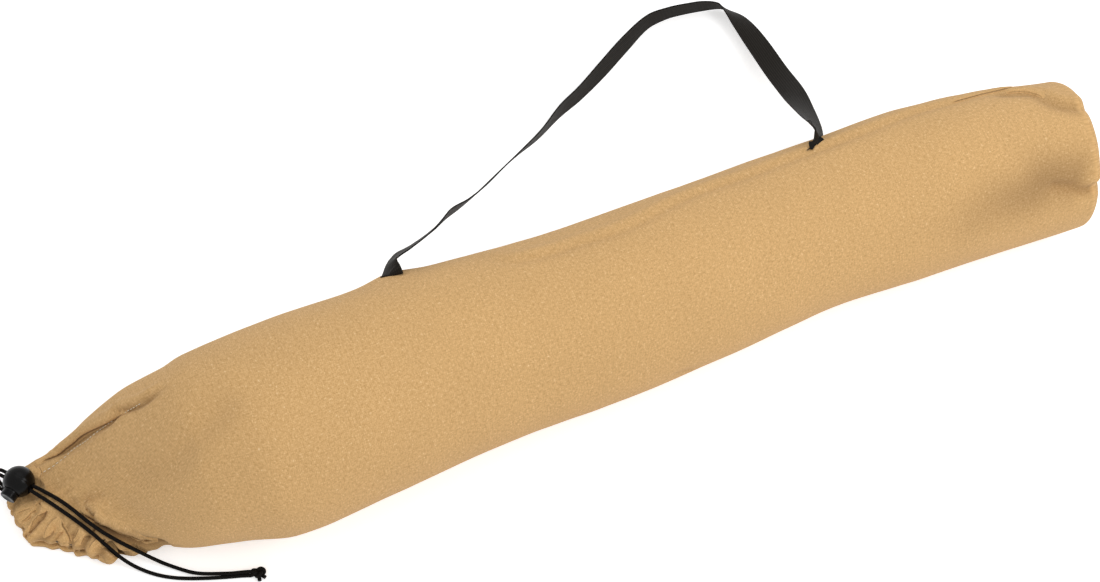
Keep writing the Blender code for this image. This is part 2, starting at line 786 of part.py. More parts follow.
def even_points(route, step):
    # Points about one step apart, read from a smooth curve through the route
    keys = []
    for i, point in enumerate(route):
        travelled = 0.0 if i == 0 else travelled + (point - route[i - 1]).length
        keys.append((travelled, *point))
    count = max(2, floor(travelled / step))
    return [Vector(smooth_through(keys, travelled * k / count)) for k in range(count + 1)]


def lead_route(upper):
    # From the hem's open end out past the corner, up in a loop and back to the lock
    centre, run, press = lock_frame()
    path = hem_path() if upper else hem_path()[::-1]
    way = (path[0] - path[1]).normalized()
    begin = path[0] + way * SEAM_GAP
    leave = begin + way * LOOP_STRAIGHT
    side = CORD_SPACING / 2.0 * (-1.0 if upper else 1.0)
    entry = centre - run * (BALL_DIAMETER / 2.0) + press * side
    loop_start = max((centre - leave).dot(run), BALL_DIAMETER / 2.0 + LOOP_STRAIGHT)
    reach = UPPER_LOOP_REACH if upper else LOWER_LOOP_REACH
    half_rise = (entry.z - leave.z) / 2.0
    aside = (leave - centre).dot(press)
    route = [begin, leave]
    for angle in LOOP_ANGLES:
        blend = min(1.0, (angle + pi / 2.0) / (LOOP_CROSSED_AT + pi / 2.0))
        point = centre - run * (loop_start + reach * cos(angle))
        point += press * (aside + (side - aside) * blend)
        point.z = leave.z + half_rise * (1.0 + sin(angle))
        route.append(point)
    return route + [entry - run * LOOP_STRAIGHT, entry]


def knot_directions():
    approach = Vector((cos(KNOT_HEADING), sin(KNOT_HEADING), 0.0))
    return approach, Vector((-approach.y, approach.x, 0.0))


def tail_points(upper):
    # Up into the lock, straight through it, then along the chosen points to the knot
    centre, run, press = lock_frame()
    side = press * (CORD_SPACING / 2.0 * (-1.0 if upper else 1.0))
    lead = lead_route(upper)
    route = [lead[-1]]
    for share in (-0.35, 0.3, 0.9, 1.3):
        route.append(centre + run * (BALL_DIAMETER / 2.0 * share) + side)
    route += [Vector(p) for p in (UPPER_ROUTE if upper else LOWER_ROUTE)]
    approach, across = knot_directions()
    knot = Vector((*KNOT_PLACE, CORD_DIAMETER / 2.0 + SEAM_GAP))
    face = knot - approach * (KNOT_SIZE[0] / 2.0)
    face += across * (KNOT_CORD_SPREAD / 2.0 * (1.0 if upper else -1.0))
    route += [face - approach * (2.0 * CORD_DIAMETER), face]
    return lead[:-1] + even_points(route, CORD_POINT_STEP)


def make_cords():
    add_tube("drawcord", hem_path(), CORD_DIAMETER, CORD)
    for upper, name in ((True, "cord_tail_upper"), (False, "cord_tail_lower")):
        points = tail_points(upper)
        length = sum((b - a).length for a, b in zip(points, points[1:]))
        print("%s: %d points, %.1f mm" % (name, len(points), length * 1000.0))
        add_tube(name, points, CORD_DIAMETER, CORD)


def make_knot():
    # Rounded lump of the common knot with its two cut tips
    length, width, height = KNOT_SIZE
    approach, across = knot_directions()
    centre = Vector((*KNOT_PLACE, height / 2.0 + SEAM_GAP))
    steps = 9
    around = 16
    points = []
    for k in range(steps + 1):
        angle = pi * (KNOT_END_SHARE + (1.0 - 2.0 * KNOT_END_SHARE) * k / steps)
        reach = -length / 2.0 * cos(angle) / cos(pi * KNOT_END_SHARE)
        for j in range(around):
            turn = tau * j / around
            offset = across * (width / 2.0 * sin(angle) * cos(turn))
            offset += UP * (height / 2.0 * sin(angle) * sin(turn))
            points.append(centre + approach * reach + offset)
    lump = add_mesh("cord_knot", points, ring_faces(steps + 1, around, closed_ends=True), CORD)
    tip_radius = CORD_DIAMETER / 2.0
    for k, turn in enumerate(KNOT_TIP_TURNS):
        heading = approach * cos(turn) + across * sin(turn)
        begin = centre + heading * (length / 4.0)
        begin.z = tip_radius + 2.0 * SEAM_GAP
        sideways = heading.cross(UP)
        tip = []
        for end in (begin, begin + heading * KNOT_TIP_LENGTH):
            for j in range(8):
                angle = tau * (j + 0.5) / 8
                tip.append(end + (sideways * cos(angle) + UP * sin(angle)) * tip_radius)
        guide = add_mesh("knot_tip_%d" % (k + 1), tip, ring_faces(2, 8, closed_ends=True), CORD)
        guide.hide_render = True
        guide.display_type = "WIRE"
        step = lump.modifiers.new(guide.name, "BOOLEAN")
        step.operation = "UNION"
        step.solver = "EXACT"
        step.object = guide


def main():
    clear_scene()
    make_bag_shell()
    make_bag_base()
    make_drawcord_hem()
    make_poles()
    make_teepee_cover()
    make_strap()
    make_tab("strap_tab_left", STRAP_LEFT_X, STRAP_LEFT_TURN)
    make_tab("strap_tab_right", STRAP_RIGHT_X, STRAP_RIGHT_TURN)
    make_lock()
    make_cords()
    make_knot()


main()
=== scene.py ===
from math import cos, exp, floor, hypot, pi, radians, sin, sqrt, tau

import bmesh
import bpy
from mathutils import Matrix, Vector, noise
from mathutils.bvhtree import BVHTree


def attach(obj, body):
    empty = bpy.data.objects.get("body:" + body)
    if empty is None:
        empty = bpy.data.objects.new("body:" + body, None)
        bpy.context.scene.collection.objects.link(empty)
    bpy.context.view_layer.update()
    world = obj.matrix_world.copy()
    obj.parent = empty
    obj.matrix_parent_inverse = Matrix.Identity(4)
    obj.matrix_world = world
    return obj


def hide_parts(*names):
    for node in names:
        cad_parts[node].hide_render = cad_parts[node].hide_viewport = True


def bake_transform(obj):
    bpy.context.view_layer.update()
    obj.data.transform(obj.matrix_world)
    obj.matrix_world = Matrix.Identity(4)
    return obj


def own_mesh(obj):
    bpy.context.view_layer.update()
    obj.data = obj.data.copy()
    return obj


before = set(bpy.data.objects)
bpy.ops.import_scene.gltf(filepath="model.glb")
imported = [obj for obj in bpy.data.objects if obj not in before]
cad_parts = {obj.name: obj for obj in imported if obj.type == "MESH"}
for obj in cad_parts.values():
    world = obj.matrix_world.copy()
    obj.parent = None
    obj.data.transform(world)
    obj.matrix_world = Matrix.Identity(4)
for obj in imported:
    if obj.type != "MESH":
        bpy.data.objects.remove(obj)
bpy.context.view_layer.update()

up = Vector((0.0, 0.0, 1.0))
seamGap = 0.0003  # left between neighbours, as in the CAD: it stands for a seam or for contact
# The photograph's camera, fitted to its outline
shot = {
    "turn": radians(-22.56),
    "height": radians(60.0),
    "distance": 1.9,
    "target": Vector((-0.093, 0.066, 0.0)),
    "lens": 74.85,
    "sensor": 36.0,
    "pixels": (1100, 582),
}


def cameraWays():
    turn, height = shot["turn"], shot["height"]
    back = Vector((sin(turn) * cos(height), -cos(turn) * cos(height), sin(height)))
    right = Vector((cos(turn), sin(turn), 0.0))
    return back, right, back.cross(right)


def throughPixel(x, y, surface):
    # Where the sight line through a place in the photograph meets the cloth, or None
    back, right, above = cameraWays()
    wide, high = shot["pixels"]
    focal = shot["lens"] / shot["sensor"] * wide
    way = right * ((x - wide / 2.0) / focal) - above * ((y - high / 2.0) / focal) - back
    return surface.ray_cast(shot["target"] + back * shot["distance"], way.normalized())[0]


def makeCamera():
    back = cameraWays()[0]
    data = bpy.data.cameras.new("photoCamera")
    data.lens = shot["lens"]
    data.sensor_width = shot["sensor"]
    camera = bpy.data.objects.new("photoCamera", data)
    camera.location = shot["target"] + back * shot["distance"]
    camera.rotation_mode = "QUATERNION"
    camera.rotation_quaternion = (-back).to_track_quat("-Z", "Y")
    bpy.context.scene.collection.objects.link(camera)
    bpy.context.scene.camera = camera


def hexColour(text):
    # sRGB hex to linear
    values = [int(text[k:k + 2], 16) / 255.0 for k in (1, 3, 5)]
    linear = [v / 12.92 if v <= 0.04045 else ((v + 0.055) / 1.055) ** 2.4 for v in values]
    return (*linear, 1.0)


def addNode(tree, kind, settings=None, links=None):
    # One node: settings go to properties or to sockets, links go to sockets
    node = tree.nodes.new(kind)
    for key, value in (settings or {}).items():
        if isinstance(key, str) and hasattr(node, key):
            setattr(node, key, value)
        else:
            node.inputs[key].default_value = value
    for key, socket in (links or {}).items():
        tree.links.new(socket, node.inputs[key])
    return node


def newMaterial(name):
    made = bpy.data.materials.new(name)
    made.use_nodes = True
    return made, made.node_tree, made.node_tree.nodes["Principled BSDF"]


def bell(distance, width):
    return exp(-(distance / width) ** 2)


def easeIn(share):
    share = max(0.0, min(1.0, share))
    return share * share * (3.0 - 2.0 * share)


def smoothThrough(keys, place):
    # Cubic curve through keys of (place, values...)
    last = len(keys) - 1
    at = 0
    while at < last - 1 and place > keys[at + 1][0]:
        at += 1
    before, start = keys[max(at - 1, 0)], keys[at]
    end, after = keys[at + 1], keys[min(at + 2, last)]
    span = end[0] - start[0]
    t = (place - start[0]) / span
    values = []
    for k in range(1, len(start)):
        slopeIn = (end[k] - before[k]) / (end[0] - before[0]) * span
        slopeOut = (after[k] - start[k]) / (after[0] - start[0]) * span
        rise = end[k] - start[k]
        values.append(start[k] + slopeIn * t + (3.0 * rise - 2.0 * slopeIn - slopeOut) * t**2
                      + (slopeIn + slopeOut - 2.0 * rise) * t**3)
    return values


def travelOf(points):
    # Distance along a path at each of its points
    travel = [0.0]
    for a, b in zip(points, points[1:]):
        travel.append(travel[-1] + (b - a).length)
    return travel


def wayAt(points, i, reach=1):
    return points[min(i + reach, len(points) - 1)] - points[max(i - reach, 0)]


def evenPoints(route, step):
    # Points one step apart on a smooth curve through the route
    travel = travelOf(route)
    keys = [(place, *point) for place, point in zip(travel, route)]
    count = max(2, floor(travel[-1] / step))
    return [Vector(smoothThrough(keys, travel[-1] * k / count)) for k in range(count + 1)]


def loft(name, rings, uvOf, closed=False, caps=True, smoothAngle=50.0, darks=None):
    # Extrudes one ring of edges through all the rings of points
    bm = bmesh.new()
    # Per point, the shade painted into folds, gathers and under turned edges
    darkSlot = bm.verts.layers.float.new("paintedShade")
    aroundSlot = bm.verts.layers.int.new("around")
    ringSlot = bm.verts.layers.int.new("ring")
    count = len(rings[0])
    for k, vert in enumerate(bmesh.ops.create_circle(bm, segments=count, radius=1.0)["verts"]):
        vert[aroundSlot] = k
        vert.co = rings[0][k]
    firstLoop = list(bm.edges)
    loop = firstLoop
    for i, ring in enumerate(rings[1:], 1):
        made = bmesh.ops.extrude_edge_only(bm, edges=loop)["geom"]
        fresh = {g for g in made if isinstance(g, bmesh.types.BMVert)}
        for vert in fresh:
            vert[ringSlot] = i
            vert.co = ring[vert[aroundSlot]]
        loop = [g for g in made if isinstance(g, bmesh.types.BMEdge) and set(g.verts) <= fresh]
    if closed:
        bmesh.ops.bridge_loops(bm, edges=firstLoop + loop)
    elif caps:
        bmesh.ops.edgeloop_fill(bm, edges=firstLoop)
        bmesh.ops.edgeloop_fill(bm, edges=loop)
    bmesh.ops.recalc_face_normals(bm, faces=bm.faces)
    if darks:
        for vert in bm.verts:
            vert[darkSlot] = darks[vert[ringSlot]][vert[aroundSlot]]
    uvSlot = bm.loops.layers.uv.new("clothUV")
    for face in bm.faces:
        places = [vert[aroundSlot] for vert in face.verts]
        wraps = max(places) - min(places) > count / 2
        for corner in face.loops:
            around = corner.vert[aroundSlot]
            if wraps and around < count / 2:
                around += count
            corner[uvSlot].uv = uvOf(corner.vert[ringSlot], around)
    return finishMesh(name, bm, smoothAngle)


def finishMesh(name, bm, smoothAngle=50.0):
    mesh = bpy.data.meshes.new(name)
    bm.to_mesh(mesh)
    bm.free()
    mesh.shade_smooth()
    mesh.set_sharp_from_angle(angle=radians(smoothAngle))
    item = bpy.data.objects.new(name, mesh)
    bpy.context.scene.collection.objects.link(item)
    return item


def applyModifiers(item):
    bpy.context.view_layer.update()
    whole = bpy.data.meshes.new_from_object(item.evaluated_get(bpy.context.evaluated_depsgraph_get()))
    item.modifiers.clear()
    item.data = whole


def circle(centre, side, other, radius, count):
    angles = [tau * k / count for k in range(count)]
    return [centre + (side * cos(angle) + other * sin(angle)) * radius for angle in angles]


def tube(name, points, radius, sides=14):
    # Round tube along points, its frame carried along without twist
    side = (points[1] - points[0]).normalized().cross(up)
    side = side.normalized() if side.length > 0.1 else Vector((1.0, 0.0, 0.0))
    rings = []
    for i, point in enumerate(points):
        way = wayAt(points, i).normalized()
        side = (side - way * side.dot(way)).normalized()
        rings.append(circle(point, side, way.cross(side), radius, sides))
    travel = travelOf(points)
    return loft(name, rings, lambda ring, around: (around / sides * tau * radius, travel[ring]))


def dress(piece, finish, slot, *nodes, body="bag"):
    # Gives a piece its material and its body, and hides the CAD nodes that it stands for. The slot is not
    # used
    piece.data.materials.append(finish)
    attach(piece, body)
    if nodes:
        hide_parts(*nodes)
    return piece


def thicken(piece):
    wall = piece.modifiers.new("wall", "SOLIDIFY")
    wall.thickness = bag["wall"]
    wall.offset = -1.0


bag = {
    "start": -0.414,
    "length": 0.749,
    "neck": 0.1104,
    "packRadius": 0.038855,
    "floorShare": 0.50,  # share of the radius that lies flat on the floor
    "body": (  # share of the length, thickness of the roll, sideways bow, turn
        (0.00, 0.0335, 0.0030, 0.0), (0.02, 0.0372, 0.0015, 0.0), (0.07, 0.0428, -0.0050, 0.0),
        (0.18, 0.0413, -0.0020, 0.0), (0.29, 0.0373, 0.0020, 0.0), (0.42, 0.0335, 0.0005, 0.0),
        (0.56, 0.0323, 0.0025, 0.0), (0.69, 0.0290, 0.0080, 0.0), (0.82, 0.0303, 0.0060, 0.0),
        (0.93, 0.0286, 0.0012, radians(-1.0)), (1.00, 0.0255, -0.0030, radians(-5.0)),
    ),
    "neckKeys": (  # share of the neck, sidestep, turn, half width, height, bow
        (0.83, 0.0215, radians(24.6), 0.0530, 0.0232, 0.011),
        (0.64, 0.0200, radians(20.0), 0.0585, 0.0430, 0.005),
        (0.49, 0.0150, radians(14.0), 0.0650, 0.0720, 0.001),
        (0.28, 0.0100, radians(7.0), 0.0700, 0.1040, 0.0),
    ),
    "mouth": {"width": 0.100, "gap": 0.0050, "turn": radians(36.0), "side": 0.0195, "bow": 0.0160},
    "lean": 0.35,  # how much more the mouth bows out towards the ball's corner
    "baseBulge": 0.0160,
    "basePower": 2.8,
    "around": 196,
    "dense": 0.3,  # how much closer the points of a ring lie where the camera looks
    "denseAt": radians(120.0),
    "neckRings": 78,
    "bodyRings": 150,
    "wall": 0.0009,
    "girth": 0.46,  # the cloth is one width all along, so its threads crowd at the mouth
    "backRuffle": {"at": -0.5140, "length": 0.0125, "rise": 0.0066, "reach": 0.0040,
                   "from": 0.2, "over": 0.7, "mean": 0.75, "uneven": 0.6, "paces": (160.0, 90.0)},
    "flap": {"high": 0.017, "low": 0.004, "from": 0.3, "over": 0.9, "reach": (  # station, how far out it lies
        (-0.560, 0.0050), (-0.532, 0.0088), (-0.524, 0.0108), (-0.517, 0.0120), (-0.510, 0.0120),
        (-0.503, 0.0110), (-0.497, 0.0114), (-0.490, 0.0122), (-0.485, 0.0121), (-0.480, 0.0096),
        (-0.475, 0.0060), (-0.469, 0.0025), (-0.462, 0.0006), (-0.455, 0.0), (-0.400, 0.0),
    )},
    "cornerLift": {"start": 0.250, "drop": 0.0050, "lean": 0.0064, "pinch": 0.0070, "frontLean": 0.0022,
                   "highFrom": 0.55, "pinchTo": 0.03},
    "strapPull": {"size": 0.0042, "width": 0.020},  # the cloth that the strap's left end pulls out
    "turnedEnd": (0.006, 0.014, 0.026, 0.045, 0.07),  # shares of the base that the cloth is turned over
    "panelShares": (0.058, 0.064, 0.07, 0.09, 0.12, 0.16, 0.22, 0.30, 0.40, 0.52, 0.66, 0.80, 0.92, 0.985),
    "panelShrink": 0.9935,
    "panelBack": 0.0004,  # how far inside the turned cloth the base panel's edge lies
    "mouthZones": {"gathers": 0.3, "flap": 0.2, "ruffle": 0.5, "cords": 0.1},  # from this share of the neck
    "slopeStep": 0.002,  # how far apart the sections lie that give the cloth's slope
    "floorGap": 0.0002,
    "floorFade": 0.006,  # height above the floor at which the folds reach their full depth
    # How the cloth wavers, broadly and finely: how far, its pace along and round the bag, and where it starts
    "uneven": ((0.0012, 14.0, 18.0, 0.0), (0.0003, 40.0, 60.0, 9.0)),
    "baseCrumple": 0.0016,
}
hem = {
    "depth": 0.012,
    "thickness": 0.0054,
    "wall": 0.0009,
    "gather": 0.0040,  # height of a gather's crest over its valley
    "sink": 0.0008,  # how far a valley lies under the CAD's wall
    "spacing": 0.0112,
    "scallop": 0.0046,  # how far a crest pushes the rim out
    "fade": 0.021,  # how far the gathers run up the neck
    "lip": 0.0030,  # the hem's turned edge lies this far over the neck cloth
    # how deep the shade painted in the gathers' valleys is
    "dark": 0.42,
    "frontReach": 0.0085,  # how far the front corner's cloth lies out past the channel
    "frontFrom": -0.0440,
    "frontOver": 0.005,
    "lowerCalm": (0.75, 0.5),  # how much flatter the lower ply's gathers and scallops are
    "midCrest": 0.45,  # crests over this push the rim out, and lower ones draw it in
    "ply": {"from": 0.25, "over": 0.6, "snug": 0.985, "above": 0.0004},  # where the outer ply runs on
    "cordsFrom": -0.02,  # the cords lie on the channel from here to its front corner
    "lineSteps": (20, 100),  # points of the channel's bend and of each straight run
    "sides": 26,
    "square": 0.62,  # below 1 the channel's section is squarer than an ellipse
    "clothAround": 0.034,
    "fullness": 1.8,  # length of cloth gathered into one length of the channel
    "rimShape": (  # place along the mouth, how far the rim lies out from the CAD's bow
        (-0.0500, 0.0024), (-0.0440, 0.0008), (-0.0287, -0.0018), (-0.0127, -0.0034), (-0.0010, -0.0006),
        (0.0098, 0.0024), (0.0248, 0.0), (0.0440, 0.0), (0.0500, 0.0),
    ),
}
centreShare = sqrt(1.0 - bag["floorShare"] ** 2)
mouth = bag["mouth"]
mouthHeight = mouth["gap"] + 2.0 * hem["thickness"]
baseX = bag["start"] + bag["length"]


def bodyStation(share):
    thickness, side, turn = smoothThrough(bag["body"], share)
    radius = bag["packRadius"] + thickness
    return (bag["start"] + share * bag["length"], side, turn, radius, radius * (1.0 + centreShare), 0.0)


def neckStations():
    # From the bag's closed part to the mouth: share of the neck, then as in bag["neckKeys"]
    stations = [(1.0, mouth["side"], mouth["turn"], mouth["width"] / 2.0, mouthHeight, mouth["bow"])]
    stations += list(bag["neckKeys"])
    for share in (0.0, 0.03):
        stations.append((-share * bag["length"] / bag["neck"], *bodyStation(share)[1:]))
    return sorted(stations)


neckTable = neckStations()


def stationAt(x):
    if x >= bag["start"]:
        return bodyStation((x - bag["start"]) / bag["length"])
    return (x, *smoothThrough(neckTable, (bag["start"] - x) / bag["neck"]))


def bowAhead(bow, across, half):
    share = across / half
    return bow * max(0.0, 1.0 - share**2) ** 1.5 * (1.0 + bag["lean"] * share)


def sectionPoint(station, angle):
    x, side, turn, half, height, bow = station
    upright = height / (1.0 + centreShare)
    across = half * cos(angle)
    ahead = bowAhead(bow, across, half)
    z = max(0.0, upright * centreShare + upright * sin(angle))
    return Vector((x - sin(turn) * across - cos(turn) * ahead,
                   side + cos(turn) * across - sin(turn) * ahead, z))


def mouthFrame():
    turn = mouth["turn"]
    middle = Vector((bag["start"] - bag["neck"], mouth["side"], 0.0))
    return middle, Vector((-cos(turn), -sin(turn), 0.0)), Vector((-sin(turn), cos(turn), 0.0))


lock = {
    "ball": 0.0248,
    "heading": radians(-50.0),
    "overCorner": 0.0123,  # how far it lies back over the hem from the mouth's corner, and beside it
    "besideCorner": 0.0110,
    "rim": 0.0008,  # the barrel's flat edge round the button
    "plunger": 0.0130,
    "fit": 0.0003,
    "proud": 0.0065,  # how far the button stands out of the barrel
    "travel": 0.0030,
    "slide": 0.0080,
    "clearFrom": 0.0155,  # distance from its middle at which the cloth's gathers begin to rise
    "clearOver": 0.010,
    "slotHalf": 0.00475,  # the cords' way through, half its width and half its height
    "slotHeight": 0.0021,
    "endWall": 0.0009,
    "steps": 60,
    "parting": {"at": -0.0002, "width": 0.00035, "depth": 0.00022},  # the mould's line round the ball
    "bevel": 0.0004,
    "grip": {  # grooves round the button, and one groove's form: distance along, share of its depth
        "rings": 3, "back": 0.0048, "pitch": 0.0013, "depth": 0.0003,
        "groove": ((0.0, 0.0), (0.00025, 1.0), (0.0006, 1.0), (0.00085, 0.0)),
    },
    "buttonFace": (  # distance back from the button's outer face, distance in from its side
        (0.0009, 0.0), (0.0003, 0.0003), (0.0, 0.0011), (0.0002, 0.0022), (0.0007, 0.004225),
        (0.0009, 0.0065),
    ),
}
cord = {
    "diameter": 0.0030,
    "spacing": 0.0040,
    "step": 0.0075,
    "straight": 0.0033,  # where it leaves the hem, and where it enters the ball
    "upperReach": 0.0065,  # how far the two loops at the mouth reach
    "lowerReach": 0.0115,
    "knotPlace": (-0.3985, -0.0815),
    "knotHeading": radians(-21.0),
    "knotSize": (0.0115, 0.0090, 0.0070),
    "knotSpread": 0.0036,
    "knotForm": {  # how much thicker than the tails its windings, tips and entries are, and how they lie
        "steps": 72, "sides": 12, "winding": 1.12, "tip": 1.04, "entry": 1.02, "inside": 0.08,
        "apart": 0.0008, "hump": 0.0004, "uvStep": 0.0009,
    },
    "tipLength": 0.0036,
    "tipTurns": (radians(-82.0), radians(-36.0)),
    "fine": 0.0016,  # step of the finished tails' rings
    "together": {  # where the upper strand comes to lie on the lower one, and how far it moves there
        "start": -0.458, "over": 0.018, "inFront": -0.05, "knotStart": -0.417, "knotOver": 0.012,
        "aside": 0.0022, "lessAtKnot": 0.0010, "lift": 0.0021,
    },
    "carry": {  # how the cloth carries the cords: where, how near, and the gap left under them
        "low": 0.008, "end": -0.45, "reach": 0.014, "tallest": 0.008, "swell": 0.007, "under": 0.0035,
        "gap": 0.0002,
    },
    "upper": (
        (-0.5185, 0.0205, 0.0275), (-0.5137, 0.0097, 0.0262), (-0.5078, 0.0000, 0.0248),
        (-0.5018, -0.0100, 0.0232), (-0.4954, -0.0179, 0.0212), (-0.4887, -0.0248, 0.0180),
        (-0.4816, -0.0305, 0.0135), (-0.4740, -0.0370, 0.0075), (-0.4668, -0.0435, 0.0028),
        (-0.4590, -0.0512, 0.0018), (-0.4452, -0.0618, 0.0018), (-0.4335, -0.0665, 0.0018),
        (-0.4190, -0.0715, 0.0018),
    ),
    "lower": (
        (-0.5225, 0.0145, 0.0262), (-0.5165, 0.0060, 0.0245), (-0.5115, -0.0022, 0.0228),
        (-0.5060, -0.0105, 0.0210), (-0.5020, -0.0180, 0.0185), (-0.4978, -0.0255, 0.0140),
        (-0.4952, -0.0300, 0.0095), (-0.4915, -0.0345, 0.0045), (-0.4860, -0.0400, 0.0020),
        (-0.4800, -0.0460, 0.0018), (-0.4740, -0.0517, 0.0018), (-0.4672, -0.0571, 0.0018),
        (-0.4576, -0.0622, 0.0018), (-0.4478, -0.0660, 0.0018), (-0.4369, -0.0703, 0.0018),
        (-0.4210, -0.0758, 0.0018),
    ),
}


def hemLine(bendSteps=8, runSteps=10):
    reach = (mouth["width"] - hem["thickness"]) / 2.0
    run = (mouth["gap"] + hem["thickness"]) / 2.0
    flat = reach - run
    line = [(reach - (reach + flat) * k / runSteps, run) for k in range(runSteps)]
    for k in range(bendSteps + 1):
        angle = pi / 2.0 + pi * k / bendSteps
        line.append((-flat + run * cos(angle), run * sin(angle)))
    line += [(-flat + (reach + flat) * k / runSteps, -run) for k in range(1, runSteps + 1)]
    return line


def hemPoint(across, height, depth=0.0):
    middle, outward, corner = mouthFrame()
    ahead = bowAhead(mouth["bow"], across, mouth["width"] / 2.0) + seamGap + hem["depth"] / 2.0 + depth
    return middle + outward * ahead + corner * across + up * (mouthHeight / 2.0 + height)


def lockFrame():
    middle, outward, corner = mouthFrame()
    run = Vector((cos(lock["heading"]), sin(lock["heading"]), 0.0))
    press = Vector((sin(lock["heading"]), -cos(lock["heading"]), 0.0))
    centre = middle + corner * (mouth["width"] / 2.0 - lock["besideCorner"])
    centre += outward * (hem["depth"] - lock["overCorner"])
    centre.z = mouthHeight + seamGap + lock["ball"] / 2.0
    return centre, run, press


lockPlace = lockFrame()


def leadRoute(isUpper):
    centre, run, press = lockPlace
    path = [hemPoint(*place) for place in hemLine()]
    path = path if isUpper else path[::-1]
    way = (path[0] - path[1]).normalized()
    begin = path[0] + way * seamGap
    leave = begin + way * cord["straight"]
    side = cord["spacing"] / 2.0 * (-1.0 if isUpper else 1.0)
    entry = centre - run * (lock["ball"] / 2.0) + press * side
    loopStart = max((centre - leave).dot(run), lock["ball"] / 2.0 + cord["straight"])
    reach = cord["upperReach"] if isUpper else cord["lowerReach"]
    halfRise = (entry.z - leave.z) / 2.0
    aside = (leave - centre).dot(press)
    route = [begin, leave]
    for degrees in (-60.0, -30.0, 0.0, 30.0, 60.0):
        share = min(1.0, (degrees + 90.0) / 135.0)
        angle = radians(degrees)
        point = centre - run * (loopStart + reach * cos(angle))
        point += press * (aside + (side - aside) * share)
        point.z = leave.z + halfRise * (1.0 + sin(angle))
        route.append(point)
    return route + [entry - run * cord["straight"], entry]


def knotWays():
    approach = Vector((cos(cord["knotHeading"]), sin(cord["knotHeading"]), 0.0))
    return approach, Vector((-approach.y, approach.x, 0.0))


def tailPoints(isUpper):
    centre, run, press = lockPlace
    side = press * (cord["spacing"] / 2.0 * (-1.0 if isUpper else 1.0))
    lead = leadRoute(isUpper)
    route = [lead[-1]]
    route += [centre + run * (lock["ball"] / 2.0 * share) + side for share in (-0.35, 0.3, 0.9, 1.3)]
    route += [Vector(p) for p in cord["upper" if isUpper else "lower"]]
    approach, across = knotWays()
    knot = Vector((*cord["knotPlace"], cord["diameter"] / 2.0 + seamGap))
    face = knot - approach * (cord["knotSize"][0] / 2.0)
    face += across * (cord["knotSpread"] / 2.0 * (1.0 if isUpper else -1.0))
    route += [face - approach * (2.0 * cord["diameter"]), face]
    return lead[:-1] + evenPoints(route, cord["step"])


def layTogether(path):
    # Before the knot the upper strand lies up against the lower one, and a little on it
    across, lay = knotWays()[1], cord["together"]
    laid = []
    for point in path:
        share = easeIn((point.x - lay["start"]) / lay["over"]) if point.y < lay["inFront"] else 0.0
        nearKnot = easeIn((point.x - lay["knotStart"]) / lay["knotOver"])
        aside = lay["aside"] - lay["lessAtKnot"] * nearKnot
        laid.append(point - across * (share * aside) + up * (share * lay["lift"]))
    return laid


def smoothed(path, first, passes=5):
    # Takes the small corners out of a route, past its first points
    for _ in range(passes):
        path = [p if i < first or i > len(path) - 3 else path[i - 1] * 0.25 + p * 0.5 + path[i + 1] * 0.25
                for i, p in enumerate(path)]
    return path


def makeCords(finish):
    tails = []
    for isUpper, name, node in ((True, "upperTail", "cord_tail_upper"),
                                (False, "lowerTail", "cord_tail_lower")):
        path = smoothed(tailPoints(isUpper), len(leadRoute(isUpper)) + 3)
        path = layTogether(path) if isUpper else path
        piece = tube(name, evenPoints(path, cord["fine"]), cord["diameter"] / 2.0)
        tails.append((dress(piece, finish, "cord", node), path))
    return tails


def makeKnot(finish):
    # Overhand knot: the cord winds three times through itself
    approach, across = knotWays()
    length, width, height = cord["knotSize"]
    thick = cord["diameter"] / 2.0
    form = cord["knotForm"]
    radius, steps, sides = thick * form["winding"], form["steps"], form["sides"]
    lobe = 2.7  # how far the winding curve below reaches
    centre = Vector((*cord["knotPlace"], height / 2.0 + seamGap))
    along, wide, tall = (length / 2.0 - radius) / lobe, (width / 2.0 - radius) / lobe, height / 2.0 - radius
    points = []
    for k in range(steps):
        t = tau * k / steps
        points.append(centre + approach * (along * (sin(t) + 2.0 * sin(2.0 * t)))
                      + across * (wide * (cos(t) - 2.0 * cos(2.0 * t))) + up * (tall * -sin(3.0 * t)))
    rings = []
    for k, point in enumerate(points):
        way = (points[(k + 1) % steps] - points[k - 1]).normalized()
        side = way.cross(up).normalized()
        rings.append(circle(point, side, way.cross(side), radius, sides))
    knot = loft("knot", rings, lambda ring, around: (around / sides * tau * radius, ring * form["uvStep"]),
                closed=True)
    tips = []
    for number, turn in enumerate(cord["tipTurns"], 1):
        heading = approach * cos(turn) + across * sin(turn)
        begin = centre + heading * (length / 4.0)
        begin.z = thick + 2.0 * seamGap
        points = [begin + heading * (cord["tipLength"] * k / 6.0) for k in range(7)]
        tips.append(tube("knotTip%d" % number, points, thick * form["tip"]))
    for number, sideWay in ((1, 1.0), (2, -1.0)):
        # The two tails run into the knot, the upper one over the lower
        face = centre - approach * (length / 2.0) + across * (cord["knotSpread"] / 2.0 * sideWay)
        face.z = thick + seamGap
        if sideWay > 0.0:
            lay = cord["together"]
            face += up * lay["lift"] - across * (lay["aside"] - lay["lessAtKnot"])
        inside = centre - approach * (length * form["inside"]) + across * (form["apart"] * sideWay)
        points = evenPoints([face, face.lerp(inside, 0.5) + up * form["hump"], inside], cord["fine"] / 2.0)
        tips.append(tube("knotEntry%d" % number, points, thick * form["entry"]))
    for piece in [knot] + tips:
        dress(piece, finish, "cord")
    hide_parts("cord_knot")
    return [knot] + tips


cover = {
    "start": -0.405,
    "end": 0.324,
    "bore": 0.0375,
    "axisHeight": 0.0557,
    "turns": 19,
    "steps": 24,
    "stations": 37,
    "cloth": 0.0007,
    "clear": 0.0034,  # inside the face of the bag's cloth
    "restClear": 0.0016,  # where it lies on the bag's floor
    "meanReach": 0.066,  # the roll's mean radius, for the length of cloth wound
    "ragged": 0.004,  # how unevenly its two ends lie
}


